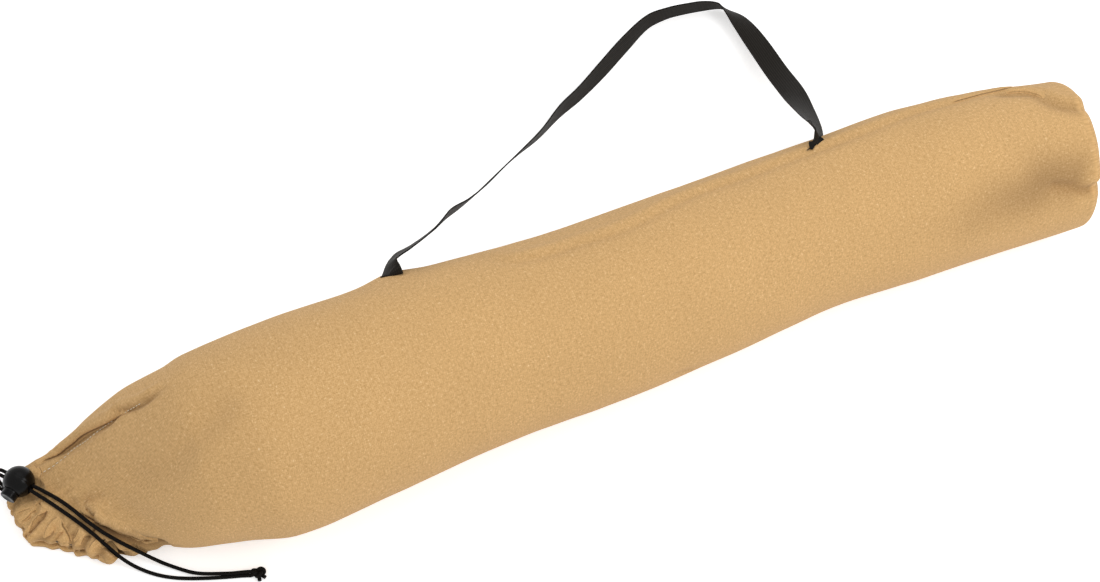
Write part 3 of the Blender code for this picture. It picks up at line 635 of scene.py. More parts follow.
def roomInBag(surface):
    # How far the bag's cloth leaves room round the roll's axis, station by station
    steps = cover["steps"]
    room = []
    for i in range(cover["stations"]):
        x = cover["start"] + (cover["end"] - cover["start"]) * i / (cover["stations"] - 1)
        axis = Vector((x, 0.0, cover["axisHeight"]))
        row = []
        for k in range(steps):
            angle = tau * k / steps - pi / 2.0
            way = Vector((0.0, cos(angle), sin(angle)))
            clear = cover["restClear"] if way.z < -0.7 else cover["clear"]
            row.append((surface.ray_cast(axis, way)[0] - axis).length - clear)
        room.append((x, row))
    return room


def makeRolledCover(finish, surface):
    # The teepee's cotton cover, folded to the poles' length and wound round them, snug in the bag
    steps, bore = cover["steps"], cover["bore"]
    room = roomInBag(surface)
    wound = cover["turns"] * steps
    travel = [0.0]
    for k in range(wound):
        radius = bore + (cover["meanReach"] - bore) * k / wound
        travel.append(travel[-1] + radius * tau / steps)
    rings = []
    for i, (x, _) in enumerate(room):
        nearby = [room[j][1] for j in range(max(i - 1, 0), min(i + 2, len(room)))]
        ring = []
        for plyFace in (0.0, cover["cloth"]):
            face = []
            for k in range(wound + 1):
                at = k % steps
                reach = min(min(line[at], line[(at + 1) % steps], line[at - 1]) for line in nearby)
                radius = bore + (reach - cover["cloth"] - bore) * k / wound + plyFace
                angle = tau * k / steps - pi / 2.0
                ragged = 0.0
                if i in (0, len(room) - 1):
                    ragged = cover["ragged"] * noise.noise(Vector((k * 0.11, i * 0.1, 2.0)))
                tall = cover["axisHeight"] + radius * sin(angle)
                face.append(Vector((x + ragged, radius * cos(angle), tall)))
            ring += face if plyFace == 0.0 else face[::-1]
        rings.append(ring)
    count = len(rings[0])

    def uvOf(ring, k):
        k = int(k) % count
        return (travel[k if k <= wound else count - 1 - k], room[ring][0])

    piece = dress(loft("rolledCover", rings, uvOf, smoothAngle=40.0), finish, "cover_cloth", "teepee_cover")
    print("rolled cover: %.2f m wound" % travel[-1])


# Folds read off the photograph and placed on the bag, in metres: the line, the valley and the ridge of
# cloth beside it as (place across the line, height, width), and how deep the shade painted into the fold is
folds = {
    "topSeam": {
        "line": ((-0.1581, 0.0511, 0.1199), (-0.1405, 0.0319, 0.1307), (-0.1137, 0.0263, 0.1312),
                 (-0.0885, 0.0265, 0.1299), (-0.0469, 0.0251, 0.1297), (-0.0240, 0.0285, 0.1281),
                 (0.0001, 0.0344, 0.1252), (0.0278, 0.0379, 0.1224), (0.0625, 0.0376, 0.1211),
                 (0.1031, 0.0396, 0.1190), (0.1383, 0.0392, 0.1195), (0.1832, 0.0400, 0.1199),
                 (0.2214, 0.0433, 0.1168), (0.2499, 0.0418, 0.1157), (0.2843, 0.0429, 0.1109),
                 (0.3058, 0.0436, 0.1067)),
        "valley": (0.0, -0.0016, 0.0042), "ridge": (0.009, 0.0022, 0.008), "dark": 0.06,
    },
    "endTuck": {
        "line": ((0.2831, 0.0411, 0.1125), (0.2997, 0.0351, 0.1142), (0.3110, 0.0293, 0.1156),
                 (0.3162, 0.0166, 0.1197), (0.3248, 0.0059, 0.1207), (0.3417, -0.0044, 0.1180)),
        "valley": (0.0, -0.0032, 0.0060), "ridge": (0.009, 0.0020, 0.008), "dark": 0.26,
    },
    "endBand": {
        "line": ((0.3302, -0.0546, 0.0939), (0.3154, -0.0510, 0.0991), (0.2924, -0.0475, 0.1047),
                 (0.2757, -0.0516, 0.1000), (0.2451, -0.0514, 0.1002), (0.2221, -0.0528, 0.0970),
                 (0.1978, -0.0524, 0.0962)),
        "valley": (0.0, -0.0030, 0.019), "dark": 0.38, "fadeOut": 0.75,
    },
    "endNotch": {
        "line": ((0.3360, -0.0599, 0.0843), (0.3227, -0.0596, 0.0862), (0.3095, -0.0558, 0.0931),
                 (0.2922, -0.0514, 0.1002)),
        "valley": (0.0, -0.0052, 0.0055), "ridge": (-0.008, 0.0016, 0.007), "dark": 0.34,
    },
    "neckFold": {
        "line": ((-0.5230, 0.0662, 0.0175), (-0.5101, 0.0656, 0.0264), (-0.4914, 0.0612, 0.0465),
                 (-0.4773, 0.0542, 0.0644), (-0.4669, 0.0494, 0.0772), (-0.4576, 0.0484, 0.0872),
                 (-0.4498, 0.0429, 0.0963), (-0.4404, 0.0369, 0.1066), (-0.4302, 0.0348, 0.1160),
                 (-0.4200, 0.0333, 0.1242)),
        "valley": (-0.0016, -0.0028, 0.0026), "ridge": (0.0052, 0.0030, 0.0042), "dark": 0.36,
    },
    "neckSlit": {
        "line": ((-0.5160, 0.0610, 0.0245), (-0.5010, 0.0600, 0.0370), (-0.4840, 0.0540, 0.0560),
                 (-0.4690, 0.0480, 0.0750), (-0.4560, 0.0440, 0.0905)),
        "valley": (0.0, -0.0012, 0.0052), "dark": 0.20,
    },
    "neckStitch": {
        "line": ((-0.5247, 0.0529, 0.0208), (-0.5123, 0.0575, 0.0273), (-0.4944, 0.0520, 0.0450),
                 (-0.4757, 0.0471, 0.0675), (-0.4572, 0.0435, 0.0890), (-0.4407, 0.0361, 0.1067)),
        "valley": (0.0, -0.0007, 0.0016), "ridge": (-0.003, 0.0008, 0.0024), "dark": 0.12,
    },
    "overhang": {
        "line": ((-0.5083, 0.0120, 0.0259), (-0.5022, 0.0010, 0.0244), (-0.4966, -0.0063, 0.0234),
                 (-0.4815, -0.0201, 0.0238), (-0.4716, -0.0293, 0.0230), (-0.4569, -0.0427, 0.0308)),
        "valley": (-0.0056, -0.0050, 0.0070), "ridge": (0.0080, 0.0036, 0.008), "dark": 0.72,
    },
    "pucker": {
        "line": ((-0.5071, 0.0129, 0.0268), (-0.5028, 0.0163, 0.0311), (-0.4970, 0.0124, 0.0340),
                 (-0.4890, 0.0085, 0.0410)),
        "valley": (0.0, -0.0022, 0.0030), "ridge": (-0.006, 0.0016, 0.005), "dark": 0.14,
    },
    "softValley": {
        "line": ((-0.4742, 0.0054, 0.0582), (-0.4555, -0.0104, 0.0809), (-0.4398, -0.0198, 0.1005),
                 (-0.4209, -0.0204, 0.1241), (-0.4018, -0.0152, 0.1378), (-0.3708, -0.0083, 0.1505)),
        "valley": (0.0, -0.0028, 0.012), "ridge": (-0.018, 0.0016, 0.010), "dark": 0.05,
    },
    "lowNotch": {
        "line": ((-0.0419, -0.0697, 0.0522), (-0.0345, -0.0690, 0.0490), (-0.0267, -0.0677, 0.0446)),
        "valley": (0.0, -0.0018, 0.0045), "dark": 0.10,
    },
}


# The step of a fold's line, the share of it over which the fold fades, what stays of it at its tips, and how
# much wider than the valley its painted shade is
foldForm = {"step": 0.006, "fade": 0.12, "least": 0.15, "darkWide": 1.15}


def foldPush(point, normal):
    # How far all the folds move a point of the cloth along its normal, and how much shade they paint on it
    push = dark = 0.0
    for fold in folds.values():
        valleyAt, depth, width = fold["valley"]
        ridgeAt, ridge, ridgeWidth = fold.get("ridge", (0.0, 0.0, 1.0))
        reach = max(3.0 * width, abs(ridgeAt) + 2.0 * min(ridgeWidth, 0.01))
        line, low, high = fold["points"], fold["low"], fold["high"]
        if any(point[k] < low[k] - reach or point[k] > high[k] + reach for k in range(3)):
            continue
        nearest = None
        for i, (a, b) in enumerate(zip(line, line[1:])):
            step = b - a
            share = max(0.0, min(1.0, (point - a).dot(step) / step.length_squared))
            away = point - (a + step * share)
            if nearest is None or away.length < nearest[0]:
                nearest = (away.length, away, step, (i + share) / (len(line) - 1))
        distance, away, step, place = nearest
        if distance > reach:
            continue
        if step.cross(away).dot(normal) <= 0.0:
            distance = -distance
        fade = min(1.0, place / foldForm["fade"] + foldForm["least"])
        fade *= min(1.0, (1.0 - place) / fold.get("fadeOut", foldForm["fade"]) + foldForm["least"])
        push += depth * bell(distance - valleyAt, width) * fade
        push += ridge * bell(distance - ridgeAt, ridgeWidth) * fade
        dark = max(dark, fold["dark"] * bell(distance - valleyAt, width * foldForm["darkWide"]) * fade)
    return push, dark


# How the gathers differ: how far each noise moves them and its pace, then their height and its bounds
gathers = {
    "wander": (0.60, 24.0, 36.0),
    "uneven": (0.45, 80.0),
    "tall": (0.80, 0.9),
    "bounds": (0.3, 1.3),
    "round": 0.75,  # below 1 the crests are broader than the valleys
    "fadePower": 1.6,  # how sharply they end up the neck
    "under": 0.3,  # what is left of them on the bag's underside
    "dark": (0.85, 1.4, 0.08),  # the height at which the painted shade ends, its sharpness, what stays on a crest
}


def gatherAt(across, away, layer):
    # Gathers along the mouth: soft folds of uneven height that wander as they run up the neck.
    # 0 in a valley, about 1 on a crest
    reach, pace, climb = gathers["wander"]
    wander = reach * noise.noise(Vector((across * pace, away * climb, 3.1 + layer)))
    reach, pace = gathers["uneven"]
    uneven = reach * noise.noise(Vector((across * pace, layer, 9.0)))
    place = across / hem["spacing"] + wander + uneven
    mean, reach = gathers["tall"]
    tall = mean + reach * noise.noise(Vector((floor(place) * 1.7, 7.7, layer)))
    least, most = gathers["bounds"]
    return (0.5 - 0.5 * cos(tau * place)) ** gathers["round"] * max(least, min(most, tall))


def paintedGatherShade(crest):
    # Shade painted on the cloth, softly down the side of a gather, and a little over its crest too
    until, sharp, least = gathers["dark"]
    return hem["dark"] * max(0.0, 1.0 - crest / until) ** sharp + least


def besideBall(point):
    # 0 under the ball of the cord lock, 1 clear of it
    return easeIn(((point - lockPlace[0]).length - lock["clearFrom"]) / lock["clearOver"])


def underLock(point, spare=0.0):
    # The cloth stays under the ball and its button all along their slide
    centre, run, press = lockPlace
    off = Vector((point.x - centre.x, point.y - centre.y, 0.0))
    slid = max(0.0, min(lock["slide"], off.dot(run)))
    beside, ahead = off.dot(run) - slid, off.dot(press)
    ball, button = lock["ball"] / 2.0 + lock["fit"], lock["plunger"] / 2.0 + lock["fit"]
    depth = sqrt(max(0.0, ball ** 2 - beside ** 2 - ahead ** 2))
    if 0.0 < ahead < ball + lock["proud"]:
        depth = max(depth, sqrt(max(0.0, button ** 2 - beside ** 2)))
    lowered = point.copy()
    if depth > 0.0:
        lowered.z = min(point.z, centre.z - depth - spare)
    return lowered


def clothAngle(k):
    # More points where the camera looks, fewer on the floor
    t = tau * (k + 0.5) / bag["around"]
    return t - bag["dense"] * sin(t - bag["denseAt"])


def clothPlaces():
    neck = [bag["start"] - bag["neck"] * (1.0 - k / bag["neckRings"]) for k in range(bag["neckRings"])]
    return neck + [bag["start"] + bag["length"] * k / bag["bodyRings"] for k in range(bag["bodyRings"] + 1)]


def mouthGather(point, angle, fromRim):
    # How far the gathers beside the mouth push the cloth out, and how much shade is painted on them
    onTop = easeIn(0.5 + 2.0 * sin(angle))
    strength = exp(-(fromRim / hem["fade"]) ** gathers["fadePower"])
    crest = gatherAt(cos(angle) * mouth["width"] / 2.0, hem["depth"] + fromRim, 1.0 - onTop)
    swell = (hem["gather"] * crest - hem["sink"]) * strength
    share = gathers["under"] + (1.0 - gathers["under"]) * onTop
    return swell * share * besideBall(point), paintedGatherShade(crest) * strength


def layOutFlap(moved, point, x, side, aside):
    # The cloth's lower edge lies out on the floor at the mouth's front corner
    flap = bag["flap"]
    low = easeIn((flap["high"] - point.z) / (flap["high"] - flap["low"]))
    along = smoothThrough(flap["reach"], x)[0] * easeIn((flap["from"] - side) / flap["over"])
    moved += aside * (low * along)


def raiseRuffle(moved, point, x, side, aside, onFloor):
    # Behind the ball the gathered cloth stands up
    ruffle = bag["backRuffle"]
    along, climb = ruffle["paces"]
    stand = bell(x - ruffle["at"], ruffle["length"]) * easeIn((side - ruffle["from"]) / ruffle["over"])
    stand *= ruffle["mean"] + ruffle["uneven"] * noise.noise(Vector((x * along, 4.0, point.z * climb)))
    moved += up * (ruffle["rise"] * stand * onFloor) - aside * (ruffle["reach"] * stand)


def sinkAtBase(moved, point, side, height, nearEnd):
    # Towards the base the cloth's top sinks and its upper edge leans outwards
    lift = bag["cornerLift"]
    high = easeIn((point.z / height - lift["highFrom"]) / (1.0 - lift["highFrom"]))
    moved.z -= lift["drop"] * nearEnd * high
    moved.x += lift["lean"] * nearEnd * high
    moved.y -= lift["pinch"] * nearEnd * max(0.0, side) * easeIn(point.z / lift["pinchTo"])
    moved.x -= lift["frontLean"] * nearEnd * max(0.0, -side)


def clothNormal(base, k, x, angle, middle):
    # Outward normal at one point of a ring, before the folds
    step = bag["slopeStep"]
    ahead = sectionPoint(stationAt(min(x + step, baseX)), angle)
    behind = sectionPoint(stationAt(max(x - step, bag["start"] - bag["neck"])), angle)
    normal = (base[(k + 1) % len(base)] - base[k - 1]).cross(ahead - behind).normalized()
    return -normal if normal.dot(base[k] - middle) < 0.0 else normal


def waver(x, point):
    # How far the cloth lies out of its smooth form
    return sum(size * noise.noise(Vector((x * along + shift, point.y * around, point.z * around)))
               for size, along, around, shift in bag["uneven"])


def clothRing(x, cordLine):
    # One ring of the bag's cloth, and the shade painted in its folds and gathers
    station = stationAt(x)
    middle = Vector((station[0], station[1], station[4] / 2.0))
    angles = [clothAngle(k) for k in range(bag["around"])]
    base = [sectionPoint(station, angle) for angle in angles]
    rimX = bag["start"] - bag["neck"]
    mouthShare = max(0.0, (bag["start"] - x) / bag["neck"])  # 1 at the mouth
    zones, pull = bag["mouthZones"], bag["strapPull"]
    aside = Vector((sin(station[2]), -cos(station[2]), 0.0))
    liftStart = bag["cornerLift"]["start"]
    nearEnd = easeIn((x - liftStart) / (baseX - liftStart))
    ring, darks = [], []
    for k, (point, angle) in enumerate(zip(base, angles)):
        side = cos(angle)
        normal = clothNormal(base, k, x, angle, middle)
        onFloor = min(1.0, point.z / bag["floorFade"])
        push, dark = foldPush(point, normal)
        push += waver(x, point) * onFloor
        if abs(x - strap["leftX"]) < 3.0 * pull["width"]:
            push += pull["size"] * bell((point - strapFoot).length, pull["width"])
        if mouthShare > zones["gathers"]:
            swell, shadow = mouthGather(point, angle, x - rimX)
            push += swell
            dark = max(dark, shadow)
        moved = point + normal * push * (onFloor if push < 0.0 else 1.0)
        if mouthShare > zones["flap"] and side < 0.0:
            layOutFlap(moved, point, x, side, aside)
        if mouthShare > zones["ruffle"] and side > bag["backRuffle"]["from"]:
            raiseRuffle(moved, point, x, side, aside, onFloor)
        if nearEnd > 0.0:
            sinkAtBase(moved, point, side, station[4], nearEnd)
        moved.z = max(moved.z, bag["floorGap"])
        ring.append(moved)
        darks.append(dark)
    if mouthShare > zones["cords"]:
        ring = [underLock(underCords(p, cordLine)) for p in ring]
    return ring, darks


def underCords(point, cordLine):
    # The neck cloth carries the cords: it swells up to them and never rises through them
    carry = cord["carry"]
    if point.z < carry["low"] or point.x > carry["end"]:
        return point
    lifted = point.copy()
    lift = 0.0
    for spot in cordLine:
        flat = hypot(spot.x - point.x, spot.y - point.y)
        target = spot.z - cord["diameter"] / 2.0 - carry["gap"]
        if flat > carry["reach"] or abs(target - point.z) > carry["tallest"]:
            continue
        rise = target - point.z
        if rise > 0.0:
            lift = max(lift, rise * bell(flat, carry["swell"]))
        elif flat < carry["under"]:
            lifted.z = min(lifted.z, target)
    lifted.z += lift if lifted.z == point.z else 0.0
    return lifted


def makeBagCloth(finish, cordLine):
    for fold in folds.values():
        fold["points"] = evenPoints([Vector(p) for p in fold["line"]], foldForm["step"])
        fold["low"] = [min(p[k] for p in fold["points"]) for k in range(3)]
        fold["high"] = [max(p[k] for p in fold["points"]) for k in range(3)]
    around, girth = bag["around"], bag["girth"]
    places = clothPlaces()
    made = [clothRing(x, cordLine) for x in places]
    edge = made[-1][0]
    for share in bag["turnedEnd"]:
        made.append((baseRing(edge, share), [0.0] * around))
        places.append(baseX + share * girth / tau)
    piece = loft("bagCloth", [ring for ring, _ in made], lambda ring, k: (k / around * girth, places[ring]),
                 caps=False, darks=[darks for _, darks in made])
    surface = surfaceOf([piece.data])
    thicken(piece)
    return dress(piece, finish, "bag_canvas", "bag_shell"), surface


def baseFrame():
    station = stationAt(baseX)
    middle = Vector((station[0], station[1], station[4] / 2.0))
    return middle, Vector((cos(station[2]), sin(station[2]), 0.0))


def baseRing(edge, share, shrink=1.0, back=0.0):
    # Ring of the bulged base, this share of the way in from the edge
    middle, out = baseFrame()
    across = 1.0 - share
    bulge = bag["baseBulge"] * (1.0 - across ** bag["basePower"]) ** (1.0 / bag["basePower"])
    ring = []
    for point in edge:
        spot = middle + (point - middle) * (across * shrink)
        crumple = bag["baseCrumple"] * noise.noise(Vector((spot.y * 22.0, spot.z * 22.0, 5.0)))
        spot = spot + out * (bulge + crumple * easeIn(share * 5.0) - back)
        spot.z = max(spot.z, bag["floorGap"])
        ring.append(spot)
    return ring


def makeBasePanel(finish):
    # Round panel sewn in at the closed end; its seam lies just inside the cloth's turned end
    middle, out = baseFrame()
    edge = clothRing(baseX, [])[0]
    rings = [baseRing(edge, share, bag["panelShrink"], bag["panelBack"]) for share in bag["panelShares"]]
    around = bag["around"]

    def flatPlace(ring, k):
        spot = rings[ring][k % around]
        return (spot.y, spot.z)

    panel = loft("basePanel", rings, flatPlace, caps=False)
    bm = bmesh.new()
    bm.from_mesh(panel.data)
    summit = middle + out * bag["baseBulge"]
    rim = [e for e in bm.edges if e.is_boundary and (e.verts[0].co - summit).length < 0.01]
    bmesh.ops.holes_fill(bm, edges=rim, sides=0)
    bmesh.ops.recalc_face_normals(bm, faces=bm.faces)
    bm.to_mesh(panel.data)
    bm.free()
    thicken(panel)
    dress(panel, finish, "base_canvas", "bag_base")


def hemSection(across, height, along, layer, atEnd, cordLine):
    # One section of the channel: its outer ring, its inner ring and the shade painted on the outer one
    half, deepHalf = hem["thickness"] / 2.0, hem["depth"] / 2.0
    clear = besideBall(hemPoint(across, height))
    (calmGathers, calmRim), ply = hem["lowerCalm"], hem["ply"]
    rings, darks = ([], []), []
    for k in range(hem["sides"]):
        angle = tau * k / hem["sides"]
        outShare, topShare = [abs(v) ** hem["square"] * (1.0 if v > 0.0 else -1.0)
                              for v in (cos(angle), sin(angle))]
        facesOut = easeIn(0.5 + 2.0 * topShare)
        crest = gatherAt(across, deepHalf - outShare * deepHalf, layer)
        swell = (hem["gather"] * crest - hem["sink"]) * clear * atEnd * (1.0 - calmGathers * layer)
        rim = hem["scallop"] * (crest - hem["midCrest"]) * max(0.0, outShare) * atEnd
        rim *= 1.0 - calmRim * layer
        rim += smoothThrough(hem["rimShape"], across)[0] * max(0.0, outShare)
        for which, cut in ((0, 0.0), (1, hem["wall"])):
            deep = outShare * (deepHalf - cut) + rim
            thick = topShare * (half - cut)
            if topShare > 0.0:
                lift = swell if which == 0 else max(swell, -seamGap)
                thick += lift * facesOut * min(1.0, topShare * 1.6)
                if which == 0:
                    atFront = easeIn((hem["frontFrom"] - across) / hem["frontOver"])
                    thick += hem["frontReach"] * atFront * topShare
                if which == 0 and outShare < -ply["from"]:
                    # The outer ply runs on over the neck cloth's edge, and hides it
                    share = easeIn((-outShare - ply["from"]) / ply["over"])
                    over = half * ply["snug"] + swell * facesOut + ply["above"]
                    thick += (over - thick) * share * facesOut * atEnd
                    deep -= hem["lip"] * share * facesOut * atEnd
            spot = hemPoint(across + along.y * thick, height - along.x * thick, deep)
            spot.z = max(spot.z, bag["floorGap"])
            if which == 0 and across < hem["cordsFrom"]:
                spot.z = min(spot.z, underCords(spot, cordLine).z)
            rings[which].append(underLock(spot, which * hem["wall"] / 2.0))
        darks.append(paintedGatherShade(crest) * facesOut)
    return (*rings, darks)


def makeHem(finish, cordLine):
    # Sewn channel, gathered on the drawcord: the neck cloth's gathers run out over it to the rim
    line = hemLine(*hem["lineSteps"])
    run = (mouth["gap"] + hem["thickness"]) / 2.0
    outer, inner, darks, travel = [], [], [], [0.0]
    for i, (across, height) in enumerate(line):
        before, after = line[max(i - 1, 0)], line[min(i + 1, len(line) - 1)]
        along = Vector((after[0] - before[0], after[1] - before[1])).normalized()
        layer = easeIn(0.5 - height / run)
        atEnd = easeIn(min(i, len(line) - 1 - i) / 4.0)
        section = hemSection(across, height, along, layer, atEnd, cordLine)
        for rows, row in zip((outer, inner, darks), section):
            rows.append(row)
        if i:
            travel.append(travel[-1] + hem["fullness"] * hypot(across - before[0], height - before[1]))
    total = len(line)

    def uvOf(ring, k):
        place = ring if ring < total else 2 * total - 1 - ring
        return (travel[place], k / hem["sides"] * hem["clothAround"])

    darks += [[0.0] * hem["sides"]] * total
    piece = loft("gatheredHem", outer + inner[::-1], uvOf, closed=True, darks=darks)
    return dress(piece, finish, "hem_canvas", "drawcord_hem")


def surfaceOf(items):
    # All their faces in one tree, before the walls get their thickness. They are sorted, because extruding
    # leaves them in another order each run, and a point as near to two faces could then find either
    verts, faces = [], []
    for mesh in items:
        base = len(verts)
        verts += [v.co.copy() for v in mesh.vertices]
        faces += sorted(tuple(base + k for k in face.vertices) for face in mesh.polygons)
    return BVHTree.FromPolygons(verts, faces)


# Pressed folds that the photograph shows crisply: the size of the turned edge, how dark the shadow painted
# right under it is, the way to the cloth that lies on top, and the edge's line in the photograph's pixels
lips = {
    "neckFoldEdge": (1.0, 0.8, (-1, -1), ((38, 464.5), (46, 459.5), (57, 455), (65, 448), (74, 441),
        (81, 435), (89.5, 430), (103, 424), (114, 418.6), (128, 412))),
    "overhangEdge": (1.3, 0.85, (0.5, -1), ((80, 507), (82, 512), (89.5, 517), (103, 523), (118, 529.5),
        (133, 534.5), (145, 538.2), (158, 540.5))),
    "topSeamEdge": (0.5, 0.8, (0, -1), ((950, 103), (962, 99.5), (975, 96), (988, 92.8), (1000, 90),
        (1010, 88), (1020, 87))),
    "endTuckEdge": (0.6, 0.34, (0.3, -1), ((1006, 93), (1014, 91.5), (1024, 91.5), (1034, 93.5),
        (1044, 98))),
    "pleatA": (0.5, 0.5, (0.5, -1), ((16, 514), (23, 510.5), (31, 508), (38, 503))),
    "pleatB": (0.5, 0.55, (0.4, -1), ((19.5, 523), (26, 518), (32, 512), (40, 508), (47, 506))),
    "pleatC": (0.6, 0.55, (-1, -0.4), ((27.5, 539), (29.5, 530), (32.5, 522), (38, 515.5), (45, 511.5),
        (52, 511))),
    "pleatD": (0.5, 0.4, (1, -0.2), ((46, 548), (44, 538), (46.5, 529), (52, 521.5), (59, 516))),
    "pleatE": (0.75, 0.75, (-1, 0.2), ((68, 549), (69, 541), (66.5, 533.5), (62.5, 526.5), (61, 519))),
    "pleatF": (0.55, 0.62, (1, 0.3), ((71.5, 546), (74, 539), (78, 532.5), (80, 527))),
    "pleatG": (0.5, 0.55, (-1, -0.2), ((79, 552), (81, 543), (86, 533.5))),
    "pleatI": (0.5, 0.55, (-1, 0.1), ((37.5, 467), (41, 472), (39.5, 479), (42, 485.5), (41, 493))),
    "pleatJ": (0.45, 0.5, (-1, 0.1), ((33, 464.5), (37, 469.5), (36.5, 475))),
    "pleatH": (0.5, 0.5, (1, 0.2), ((88, 555), (91, 546), (97, 538.5))),
}
# One turned edge across the fold: distance on to the upper cloth, height over it, darkness of the painted
# shadow. Its first points are a thin skin lying on the lower cloth that carries the shadow painted under the
# edge
lipShape = (
    (-0.0030, 0.00016, 0.0), (-0.0021, 0.00040, 0.40), (-0.0012, 0.00050, 0.85), (-0.0004, 0.00052, 1.0),
    (-0.0006, 0.00080, 1.0), (-0.0005, 0.00120, 0.45), (0.0001, 0.00160, 0.08), (0.0011, 0.00184, 0.0),
    (0.0030, 0.00180, 0.0), (0.0052, 0.00150, 0.0), (0.0078, 0.00096, 0.0), (0.0102, 0.00036, 0.0),
    (0.0120, -0.00030, 0.0), (0.0110, -0.00070, 0.0), (0.0040, -0.00070, 0.0), (-0.0028, -0.00055, 0.0),
)
# Shares of its length over which an edge rises and sinks, its width at the tips, and the height over which
# its size counts
lipForm = {"step": 0.0012, "start": 0.10, "end": 0.14, "narrow": 0.35, "thin": 0.0006}


def makeLip(name, lip, surface, finish):
    # The turned edge of a pressed fold, lofted on the cloth that carries it, with a thin skin before it on
    # which its shadow is painted
    size, shadowUnderEdge, (toRight, toLow), line = lip
    back, right, above = cameraWays()
    toward = right * toRight - above * toLow
    found = [throughPixel(x, y, surface) for x, y in line]
    path = evenPoints([point for point in found if point], lipForm["step"])
    rings, darks, travel = [], [], travelOf(path)
    for i, point in enumerate(path):
        middle, normal = surface.find_nearest(point)[:2]
        if normal.dot(back) < 0.0:
            normal = -normal
        side = normal.cross(wayAt(path, i, 2)).normalized()
        if side.dot(toward) < 0.0:
            side.negate()
        place = i / (len(path) - 1)
        full = easeIn(place / lipForm["start"]) * easeIn((1.0 - place) / lipForm["end"])
        wide = size * (lipForm["narrow"] + (1.0 - lipForm["narrow"]) * full)
        ring = []
        for away, height, _ in lipShape:
            spot = surface.find_nearest(middle + side * (away * wide))[0]
            tall = height * full * (size if height > lipForm["thin"] else 1.0)
            ring.append(underLock(spot + normal * tall))
        rings.append(ring)
        darks.append([shadowUnderEdge * dark * full for _, _, dark in lipShape])
    piece = loft(name, rings, lambda ring, k: (lipShape[int(k) % len(lipShape)][0], travel[ring]),
                 darks=darks, smoothAngle=70.0)
    dress(piece, finish, "bag_canvas")


stitch = {"length": 0.0032, "gap": 0.0007, "radius": 0.00046}
stitchLine = ((38.5, 476), (42, 473), (59, 462), (74, 449), (89.5, 438.6), (101, 429), (118, 416.7),
              (128, 411), (141, 403))


def makeStitches(name, line, surface, finish):
    # A row of thread stitches lying on the cloth
    path = evenPoints([point for point in line if point], stitch["length"] + stitch["gap"])
    bm = bmesh.new()
    for a, b in zip(path, path[1:]):
        middle, normal = surface.find_nearest((a + b) / 2.0)[:2]
        way = (b - a).normalized()
        across = normal.cross(way).normalized()
        made = bmesh.ops.create_icosphere(bm, subdivisions=1, radius=1.0)["verts"]
        for vert in made:
            x, y, z = vert.co
            vert.co = (middle + normal * (stitch["radius"] * 0.6) + way * (x * stitch["length"] / 2.0)
                       + across * (y * stitch["radius"]) + normal * (z * stitch["radius"]))
    dress(finishMesh(name, bm, 180.0), finish, "bag_canvas")


strap = {
    "width": 0.020,
    "thickness": 0.0012,
    "leftX": -0.227,
    "rightX": 0.129,
    "leftTurn": radians(40.0),
    "rightTurn": radians(57.0),
    "lift": 0.0032,  # the sewn tab, the gaps over and under it, and half the webbing
    "steps": 7,
    "sewnRoll": (36.0, 20.0),  # how far the two sewn ends are turned on the cloth, in degrees
    "tuckedBack": (  # distance from the right end, share of the webbing's left half that isn't tucked back
        (0.0, 1.0), (0.0010, 0.62), (0.0020, 0.34), (0.0035, 0.30), (0.0063, 0.36), (0.0095, 0.60),
        (0.0158, 0.78), (0.0240, 0.95), (0.0300, 1.0), (2.0, 1.0),
    ),
    "keys": (  # share along the hinge line, distance out, height share, roll in degrees
        (0.000, 0.0000, 1.000, 36.0), (0.000, 0.0018, 1.000, 38.0), (0.000, 0.0036, 0.990, 42.0),
        (0.002, 0.0057, 0.984, 48.0), (0.0085, 0.0115, 0.982, 60.0), (0.0192, 0.0146, 0.979, 57.0),
        (0.0484, 0.0214, 0.946, 50.0), (0.089, 0.0323, 0.842, 56.0), (0.134, 0.0445, 0.753, 62.0),
        (0.181, 0.0615, 0.624, 70.0), (0.232, 0.0755, 0.495, 64.0), (0.287, 0.0915, 0.375, 62.0),
        (0.354, 0.1115, 0.260, 64.0), (0.421, 0.1295, 0.173, 67.0), (0.490, 0.1465, 0.099, 77.0),
        (0.560, 0.1660, 0.048, 88.0), (0.627, 0.1800, 0.020, 95.0), (0.705, 0.1980, 0.008, 103.0),
        (0.785, 0.2170, 0.004, 103.0), (0.861, 0.2325, 0.002, 93.0), (0.917, 0.2355, 0.001, 84.0),
        (0.963, 0.2345, 0.001, 81.0), (1.009, 0.2320, 0.001, 78.0), (1.047, 0.2270, 0.003, 66.0),
        (1.062, 0.2195, 0.006, 50.0), (1.076, 0.2050, 0.014, 24.0), (1.085, 0.1760, 0.053, 2.0),
        (1.087, 0.1340, 0.155, -6.0), (1.082, 0.0980, 0.318, -10.0), (1.0666, 0.0687, 0.502, 12.0),
        (1.047, 0.0404, 0.713, 31.0), (1.0318, 0.0221, 0.855, 49.0), (1.0210, 0.0140, 0.945, 62.0),
        (1.0160, 0.0080, 0.995, 64.0), (1.0100, 0.0050, 1.005, 58.0), (1.0050, 0.0022, 1.003, 44.0),
        (1.0000, 0.0000, 1.000, 24.0),
    ),
}
strapFoot = sectionPoint(stationAt(strap["leftX"]), strap["leftTurn"] - 0.2)


def hingeEnd(x, turn):
    surface = sectionPoint(stationAt(x), turn)
    return surface + Vector((0.0, cos(turn), sin(turn))) * strap["lift"]


def sewnEnd(hinge, turn, surface, top, rolls):
    # The webbing's end is sewn to the cloth and rises from it to the limb's first point
    way = -Vector((0.0, cos(turn), sin(turn)))
    foot = surface.ray_cast(hinge, way)[0] + way * seamGap
    return [(foot.lerp(top, k / 3.0), rolls[0] + (rolls[1] - rolls[0]) * k / 3.0) for k in range(3)]


